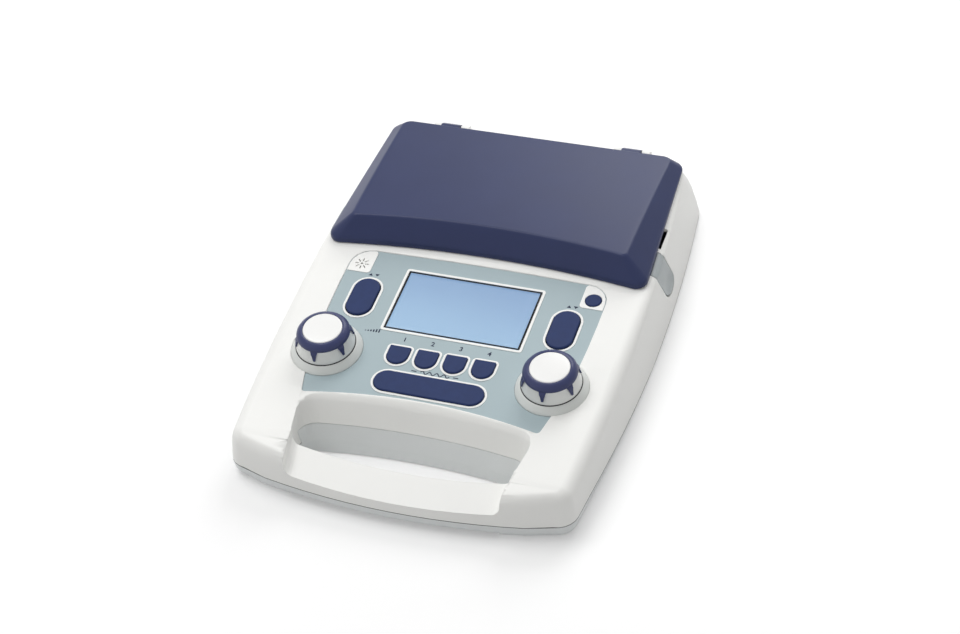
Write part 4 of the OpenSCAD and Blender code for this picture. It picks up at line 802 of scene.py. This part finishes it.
@dataclass
class StorageLid(SubAssembly):
    """Navy lid over the storage tray: a lofted shell between its base and its deck."""

    front_half_w: float = 115.2
    rear_half_w: float = 109.2
    front: float = 49.6
    rear: float = 171.0
    bow: float = 8.5
    deck_front_half_w: float = 98.0
    deck_rear_half_w: float = 100.5
    deck_back: float = 13.0
    deck_z: float = 68.3
    deck_fall: float = 1.9
    deck_arch: float = 1.3
    deck_tail: float = 3.0
    rim: float = 0.8
    rim_bow: float = 0.8
    wall: float = 2.4
    gap: float = 0.4
    straight: int = 22
    rounded: int = 16
    arm_corner: tuple[float, float] = (155.2, 60.42)
    arm_slope: float = 4.0

    def rim_z(self, y: Points) -> Points:
        """Top of the casing: slope of the panel less 0.8 ((y - y0) / 100)^2 behind the screen."""
        behind = y - PANEL.y
        return (PANEL.z + self.rim + behind * math.tan(math.radians(PANEL.tilt))
                - self.rim_bow * (np.maximum(behind, 0.0) / 100.0) ** 2)

    def deck_height(self, y: Points) -> Points:
        """Deck: a straight fall to the rear plus a parabola 4 a t (1 - t)."""
        start = PANEL.y + self.front + self.deck_back - self.bow
        t = (y - start) / (PANEL.y + self.rear - self.deck_tail - start)
        return self.deck_z - self.deck_fall * t + 4.0 * self.deck_arch * t * (1.0 - t)

    def corner(self, before: Points, tip: Points, after: Points, radius: float) -> Points:
        """Arc of a circle that touches both sides of a corner, swept at an even rate."""
        one, two = before - tip, after - tip
        one, two = one / np.linalg.norm(one), two / np.linalg.norm(two)
        half = math.acos(float(one @ two)) / 2.0
        middle = tip + (one + two) / np.linalg.norm(one + two) * radius / math.sin(half)
        start = tip + one * radius / math.tan(half) - middle
        end = tip + two * radius / math.tan(half) - middle
        first = math.atan2(start[1], start[0])
        turn = (math.atan2(end[1], end[0]) - first + math.pi) % (2.0 * math.pi) - math.pi
        angle = first + turn * np.linspace(0.0, 1.0, self.rounded + 1)
        return middle + radius * np.stack([np.cos(angle), np.sin(angle)], 1)

    def outline(self, half0: float, half1: float, front: float, rear: float,
                r0: float, r1: float) -> Points:
        """Closed outline from the middle of the front: bowed front, corner, side, corner, rear.

        Args:
            half0: half width at the front.
            half1: half width at the rear.
            front: distance of the front edge behind the screen centre.
            rear: distance of the rear edge behind the screen centre.
            r0: radius of the front corners.
            r1: radius of the rear corners.

        Returns:
            Points in the plan, anticlockwise, mirrored about x = 0.
        """
        tip0, tip1 = np.array([half0, front - self.bow]), np.array([half1, rear])
        side0, side1 = tip0 + 0.1 * (tip1 - tip0), tip0 + 0.9 * (tip1 - tip0)
        last = half0 - 1.15 * r0
        x = last * np.arange(self.straight) / self.straight
        lead = np.array([last, front - self.bow * (last / half0) ** 2])
        share = np.arange(1, self.straight + 1)[:, None] / (self.straight + 1)
        back = (half1 - r1) * (1.0 - np.arange(1, self.straight + 1) / self.straight)
        half = np.concatenate([
            np.stack([x, front - self.bow * (x / half0) ** 2], 1),
            self.corner(lead, tip0, side0, r0),
            side0 + share * (side1 - side0),
            self.corner(side1, tip1, np.array([0.0, rear]), r1),
            np.stack([back, np.full_like(back, rear)], 1)])
        ring = np.concatenate([half, half[-2:0:-1] * [-1.0, 1.0]])
        return ring + [0.0, PANEL.y]

    def skin(self, levels: Points, inset: float) -> tuple[Points, list[Faces]]:
        """Flanks and deck of one side of the shell.

        A flank point is base + t (deck - base) - normal * inset in the plan, and its height
        goes from the rim to the deck by s. The deck is a Coons patch between the four sides
        of the top ring, lifted to the deck's height.

        Args:
            levels: (t, s) of each ring, from the bottom up.
            inset: distance of this skin inside the outer one.

        Returns:
            Points and faces that point outwards.
        """
        base = self.outline(self.front_half_w, self.rear_half_w, self.front, self.rear, 8.0, 9.0)
        deck = self.outline(self.deck_front_half_w, self.deck_rear_half_w,
                            self.front + self.deck_back, self.rear - self.deck_tail, 3.0, 6.0)
        plan = base + levels[:, :1, None] * (deck - base) - outward(base) * inset
        low, high = self.rim_z(plan[..., 1]) + self.gap, self.deck_height(plan[..., 1]) - inset
        rings = np.dstack([plan, low + levels[:, 1:] * (high - low)])
        count = len(base)
        edge, cut = rings[-1], self.straight + self.rounded // 2
        across, along = 2 * cut, count // 2 - 2 * cut
        u = np.linspace(0.0, 1.0, across + 1)[None, :, None]
        v = np.linspace(0.0, 1.0, along + 1)[:, None, None]
        lead = edge[(np.arange(across + 1) - cut) % count][None]
        tail = edge[count // 2 + cut - np.arange(across + 1)][None]
        left = edge[(count - cut - np.arange(along + 1)) % count][:, None]
        right = edge[cut + np.arange(along + 1)][:, None]
        patch = ((1 - v) * lead + v * tail + (1 - u) * left + u * right
                 - (1 - u) * (1 - v) * lead[:, :1] - u * (1 - v) * lead[:, -1:]
                 - (1 - u) * v * tail[:, :1] - u * v * tail[:, -1:])
        rimward = np.maximum(np.abs(2 * u - 1), np.abs(2 * v - 1))[..., 0] ** 10
        top = self.deck_height(patch[..., 1]) - inset
        patch[..., 2] = top + rimward * (patch[..., 2] - top)
        points = np.concatenate([rings.reshape(-1, 3), patch.reshape(-1, 3)])
        walls = grid_faces(len(levels), count, True)
        cover = grid_faces(along + 1, across + 1, False, rings.shape[0] * count)
        return points, [walls, cover]

    def shell(self) -> Mesh:
        """Outer and inner skins joined along the lower rim."""
        outer_levels = chaikin(np.array([
            [0.012, 0.0], [-0.012, 0.03], [-0.012, 0.1], [0.0, 0.18], [0.05, 0.26], [0.45, 0.585],
            [0.83, 0.895], [0.925, 0.965], [1.0, 0.992]]), 3)
        inner_levels = chaikin(np.array([
            [0.0, 0.0], [0.0, 0.2], [0.4, 0.55], [0.86, 0.96], [0.97, 1.0]]), 2)
        outside, outer_faces = self.skin(outer_levels, 0.0)
        inside, inner_faces = self.skin(inner_levels, self.wall)
        start = len(outside)
        count = 2 * (3 * self.straight + 2 * (self.rounded + 1)) - 2
        around = np.arange(count)
        after = (around + 1) % count
        rim = np.stack([around, start + around, start + after, after], 1)
        flipped = [faces[:, ::-1] + start for faces in inner_faces]
        mesh = make_mesh("lid_shell", np.concatenate([outside, inside]),
                         [*outer_faces, *flipped, rim])
        weld(mesh)
        return mesh

    def build(self) -> None:
        """Lay the shell over the CAD lid and carry the arms that turn on the hinge pins."""
        lid = self.add("lid_shell", self.shell(), "lid", Finish.lid_navy)
        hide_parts("lid")
        self.slope_arms(self.carry("lid_hinge_arms", edge_mm=0.35))

    def slope_arms(self, arms: Object) -> None:
        """Slope the back of the arms: their upper rear corners move forward."""
        y, z = (edge * MM for edge in self.arm_corner)
        for point in arms.data.vertices:
            if point.co.y > y and point.co.z > z:
                point.co.y -= self.arm_slope * MM


def weld(mesh: Mesh, gap_mm: float = 0.001, sharp: float = 40.0) -> None:
    """Merge doubled points, turn every face outwards and shade again."""
    work = bmesh.new()
    work.from_mesh(mesh)
    bmesh.ops.remove_doubles(work, verts=work.verts, dist=gap_mm * MM)
    bmesh.ops.recalc_face_normals(work, faces=work.faces)
    work.to_mesh(mesh)
    work.free()
    soften(mesh, sharp)


@dataclass
class Latches(SubAssembly):
    """Grey latch on each flank."""

    def build(self) -> None:
        """Carry both latches with a small round on their edges."""
        for node in ("latch_left", "latch_right"):
            self.carry(node, 32.0, 0.35)


@dataclass
class ControlPanel(SubAssembly):
    """Printed overlay, its white carrier, and the marks printed on the film."""

    ink_w: float = 0.03
    ink_t: float = 0.04
    key_pitch: float = 19.8
    number_v: float = -36.0
    number_h: float = 3.7
    stroke: float = 0.75
    mark_at: tuple[float, float] = (71.2, 17.4)
    wave_v: float = -59.7
    bars_at: tuple[float, float] = (-59.5, -32.2)

    def film(self, name: str, flat: Points, faces: list[Faces]) -> None:
        """Ink layer of flat (u, v) faces on the film."""
        self.sheet(make_mesh(name, PANEL.flat(flat, self.ink_w), faces), Finish.print_dark,
                   self.ink_t)

    def key_number(self, index: int) -> None:
        """Plain number over a function key, from a text turned to a mesh."""
        curve = bpy.data.curves.new(f"key_number_{index}", "FONT")
        curve.body, curve.size = str(index), self.number_h * 1.38 * MM
        curve.align_x, curve.offset = "CENTER", 0.13 * MM
        text = link(curve.name, curve)
        bpy.context.view_layer.update()
        mesh = bpy.data.meshes.new_from_object(text.evaluated_get(
            bpy.context.evaluated_depsgraph_get()))
        bpy.data.objects.remove(text)
        mesh.name = curve.name
        flat = mesh_points(mesh)[:, :2] + [(index - 2.5) * self.key_pitch, self.number_v]
        mesh.vertices.foreach_set("co", (PANEL.flat(flat, self.ink_w) * MM).ravel())
        mesh.update()
        soften(mesh, 40.0)
        self.sheet(mesh, Finish.print_dark, self.ink_t)

    def arrows(self, side: int) -> None:
        """Pair of small triangles over a rocker, one up and one down: base 3.2, height 2.2."""
        tri = np.array([[-1.6, 0.0], [1.6, 0.0], [0.0, 2.2]])
        flat = np.concatenate([tri + [-2.3, 0.0], tri * [1.0, -1.0] + [2.3, 2.2]])
        u, v = self.mark_at
        self.film(f"rocker_mark_{'left' if side < 0 else 'right'}", flat + [side * u, v],
                  [np.array([[0, 1, 2], [3, 5, 4]])])

    def tone_wave(self) -> None:
        """Wave over the tone bar: v = 1.2 sin(2 pi u / 5) over four periods, with dashes."""
        u = np.linspace(-10.0, 10.0, 120)
        lines = [np.stack([u, 1.2 * np.sin(u * 2.0 * math.pi / 5.0)], 1),
                 *(np.array([[s * 14.5 - 1.8, 0.0], [s * 14.5 + 1.8, 0.0]]) for s in (-1, 1))]
        flats, groups, start = [], [], 0
        for flat, faces in (ribbon(line, self.stroke) for line in lines):
            flats.append(flat + [0.0, self.wave_v])
            groups.append(faces + start)
            start += len(flat)
        self.film("tone_wave", np.concatenate(flats), groups)

    def level_wedge(self) -> None:
        """Growing bars beside the left dial: bar i is 0.6 + 0.5 i tall."""
        i = np.arange(6)[:, None]
        u = 1.9 * i + np.array([0.0, 1.0, 1.0, 0.0])
        v = (0.6 + 0.5 * i) * np.array([0.0, 0.0, 1.0, 1.0])
        flat = np.stack([u, v], -1).reshape(-1, 2) + self.bars_at
        self.film("level_bars", flat, [np.arange(24).reshape(-1, 4)])

    def build(self) -> None:
        """Carry overlay and carrier, then print numbers and marks."""
        self.carry("panel_overlay")
        self.carry("panel_carrier")
        for side in (-1, 1):
            self.arrows(side)
        for index in range(1, 5):
            self.key_number(index)
        self.tone_wave()
        self.level_wedge()


@dataclass
class ScreenUnit(SubAssembly):
    """Lens with a black border printed on its face, and the lit picture bonded below it."""

    border_half: tuple[float, float] = (47.75, 27.0)
    border: float = 1.3
    border_w: float = 0.225
    picture_half: tuple[float, float] = (47.1, 26.55)
    picture_w: float = -1.32

    def border_ring(self) -> Mesh:
        """Frame between two rectangles, printed along the rim of the lens."""
        corner = np.array([[-1, -1], [1, -1], [1, 1], [-1, 1]])
        outer = corner * np.array(self.border_half)
        inner = corner * (np.array(self.border_half) - self.border)
        points = PANEL.flat(np.concatenate([outer, inner]), self.border_w)
        i = np.arange(4)
        return make_mesh("screen_border", points, [np.stack(
            [i, (i + 1) % 4, (i + 1) % 4 + 4, i + 4], 1)])

    def picture(self) -> Mesh:
        """Flat grid of 24 by 14 quads in the panel frame."""
        u, v = np.meshgrid(np.linspace(-1, 1, 25) * self.picture_half[0],
                           np.linspace(-1, 1, 15) * self.picture_half[1])
        flat = np.stack([u.ravel(), v.ravel()], 1)
        return make_mesh("screen_picture", PANEL.flat(flat, self.picture_w), [grid_faces(15, 25)])

    def build(self) -> None:
        """Carry lens and module, print the border and lay the picture under the lens."""
        self.carry("screen_lens")
        self.carry("display_module")
        self.sheet(self.border_ring(), Finish.border_black, 0.02)
        self.sheet(self.picture(), Finish.picture, 0.015)


@dataclass
class KeySet(SubAssembly):
    """Rockers, function keys, tone bar and power button, with the pins under the rockers."""

    def build(self) -> None:
        """Carry every key smoothly shaded."""
        for node in ("rocker_left", "rocker_right", "tone_bar", "power_button",
                     *(f"function_key_{i}" for i in range(1, 5))):
            self.carry(node, 38.0)
        self.paint("rocker_pins", "key_mat")


@dataclass
class Dials(SubAssembly):
    """Two dials: collar, skirt, grip ring and cap, over a black ring on the collar that is painted
    shade in the gap under the skirt.
    """

    middle: tuple[float, float] = (78.6, -53.5)
    radius: float = 19.9
    collar_h: float = 5.1

    def washer(self, side: int) -> None:
        """Black ring of painted shade that fills the gap under the skirt: a six-point profile
        turned.

        Args:
            side: -1 for the left dial, 1 for the right one.
        """
        r, w = self.radius, self.collar_h + 0.01
        profile = np.array([[r - 3.5, w], [r - 0.4, w], [r + 0.55, w - 0.13], [r + 0.5, w + 0.05],
                            [r - 0.1, w + 0.34], [r - 3.5, w + 0.34]])
        points, faces = revolve(profile, 128)
        points = PANEL.place(points + [side * self.middle[0], self.middle[1], 0.0])
        mesh = make_mesh(f"dial_washer_{'left' if side < 0 else 'right'}", points, [faces])
        weld(mesh)
        self.add(mesh.name, mesh, "housing", Finish.seal_black)

    def build(self) -> None:
        """Carry the turned pieces, lay the black rings of painted shade under the skirts and paint
        what the skirts hide.
        """
        for side, name in ((-1, "left"), (1, "right")):
            self.carry(f"dial_collar_{name}", finish=Finish.collar_grey)
            for part in ("skirt", "grip", "cap"):
                self.carry(f"dial_{part}_{name}")
            # black ring under the skirt: painted shade of the gap
            self.washer(side)
            self.paint(f"dial_shaft_{name}", f"encoder_{name}")


@dataclass
class RearSockets(SubAssembly):
    """Socket plate, audio sockets with contact sleeves, and power inlet."""

    sockets: int = 5
    pitch: float = 17.0
    shift: float = 10.0
    z: float = 20.0
    mouth_y: float = 165.0
    bore: float = 3.25

    def sleeve(self, index: int) -> Object:
        """Plated ring at a socket's mouth: a profile turned about the bore's axis."""
        r = self.bore
        profile = chaikin(np.array([[r - 0.02, -4.0], [r + 1.1, -0.2], [r + 1.1, 0.1],
                                    [r + 0.5, 0.35], [r - 0.02, 0.1], [r - 0.02, -4.0]]), 2)[:-1]
        points, faces = revolve(profile, 96)
        x = (index - (self.sockets + 1) / 2.0) * self.pitch + self.shift
        turned = np.stack([points[:, 0] + x, self.mouth_y + points[:, 2], self.z - points[:, 1]], 1)
        mesh = make_mesh(f"contact_sleeve_{index}", turned, [faces])
        weld(mesh)
        return self.add(mesh.name, mesh, "housing", Finish.contact_steel)

    def build(self) -> None:
        """Carry plate, sockets and inlet, and ring each bore."""
        self.carry("socket_plate")
        self.carry("power_inlet")
        for index in range(1, self.sockets + 1):
            self.carry(f"audio_socket_{index}")
            self.sleeve(index)


@dataclass
class InnerParts(SubAssembly):
    """Boards, screws and loudspeaker inside the casing."""

    def build(self) -> None:
        """Paint what the casing hides."""
        self.paint("keypad_board", "main_board", "loudspeaker", "board_screws")


# ---------------------------------------------------------------- studio


@dataclass
class Studio:
    """Camera, floor, world and lamps."""

    focal_px: float = 2087.83
    frame_px: int = 960
    sensor_mm: float = 36.0
    place: tuple[float, float, float] = (0.411785, -0.997631, 0.969544)
    right: Colour = (0.94540466, 0.31708538, -0.07527871)
    down: Colour = (0.15750464, -0.64677164, -0.74624308)
    ahead: Colour = (-0.28531091, 0.69364494, -0.66140334)
    ambient: float = 0.46

    def stand(self, name: str, data: ID, columns: list[Points]) -> Object:
        """Link a new object whose columns are its X, Y and Z axes and its place."""
        thing = link(name, data)
        turn = np.stack(columns, 1)
        thing.matrix_world = Matrix([*turn.tolist(), [0.0, 0.0, 0.0, 1.0]])
        return thing

    def camera(self) -> None:
        """Set the camera: axes right, up and back, and a lens of focal_px pixels."""
        data = bpy.data.cameras.new("portrait")
        data.sensor_fit, data.sensor_width = "HORIZONTAL", self.sensor_mm
        data.lens = self.focal_px / self.frame_px * self.sensor_mm
        data.clip_start, data.clip_end = 0.05, 60.0
        bpy.context.scene.camera = self.stand("portrait", data, [
            self.right, -np.array(self.down), -np.array(self.ahead), self.place])

    def floor(self) -> None:
        """Wide flat sheet under the feet."""
        side = np.linspace(-9000.0, 9000.0, 7)
        x, y = np.meshgrid(side, side)
        points = np.stack([x.ravel(), y.ravel(), np.full(x.size, -0.01)], 1)
        sheet = link("floor", make_mesh("floor", points, [grid_faces(7, 7)]))
        sheet.data.materials.append(StudioSheet().make("studio_sheet"))

    def world(self) -> None:
        """Even sky: white to camera and gloss, and dimmer as light."""
        graph = Graph(bpy.data.worlds.new("sky"))
        level = (1.0 - self.ambient) * camera_share(graph) + self.ambient
        sky = graph.add("ShaderNodeBackground", values={"Color": (1.0,) * 3, "Strength": level})
        bpy.context.scene.world = graph.finish(sky, "ShaderNodeOutputWorld")

    def lamp(self, name: str, place: Colour, aim: Colour, size: float, power: float) -> None:
        """Square soft box at a place, turned so that its back axis leads away from the aim."""
        data = bpy.data.lights.new(name, "AREA")
        data.size, data.energy = size, power
        back = np.array(place) - np.array(aim)
        back = back / np.linalg.norm(back)
        side = np.cross([0.0, 1.0, 0.02], back)
        side = side / np.linalg.norm(side)
        self.stand(name, data, [side, np.cross(back, side), back, place])

    def build(self) -> None:
        """Hang a large box overhead, one behind for sheen and shadow, and a fill at the left."""
        self.floor()
        self.world()
        self.lamp("overhead", (-0.7, 0.2, 1.65), (0.0, 0.0, 0.03), 1.0, 12.5)
        self.lamp("rear", (0.1, 1.5, 1.25), (0.0, 0.0, 0.05), 1.1, 14.0)
        self.lamp("fill", (-1.3, -1.2, 0.9), (0.0, -0.05, 0.03), 1.2, 1.2)
        bpy.context.scene.view_settings.view_transform = "Standard"


def main() -> None:
    """Set the camera, build the sub-assemblies in order, then the studio."""
    logging.basicConfig(level=logging.INFO, format="%(name)s %(message)s")
    studio = Studio()
    studio.camera()
    for part in (CasingShells(), ControlPanel(), ScreenUnit(), KeySet(), Dials(), StorageLid(),
                 Latches(), RearSockets(), InnerParts()):
        LOG.info("building %s", type(part).__name__)
        part.build()
    studio.build()


if __name__ == "__main__":
    main()
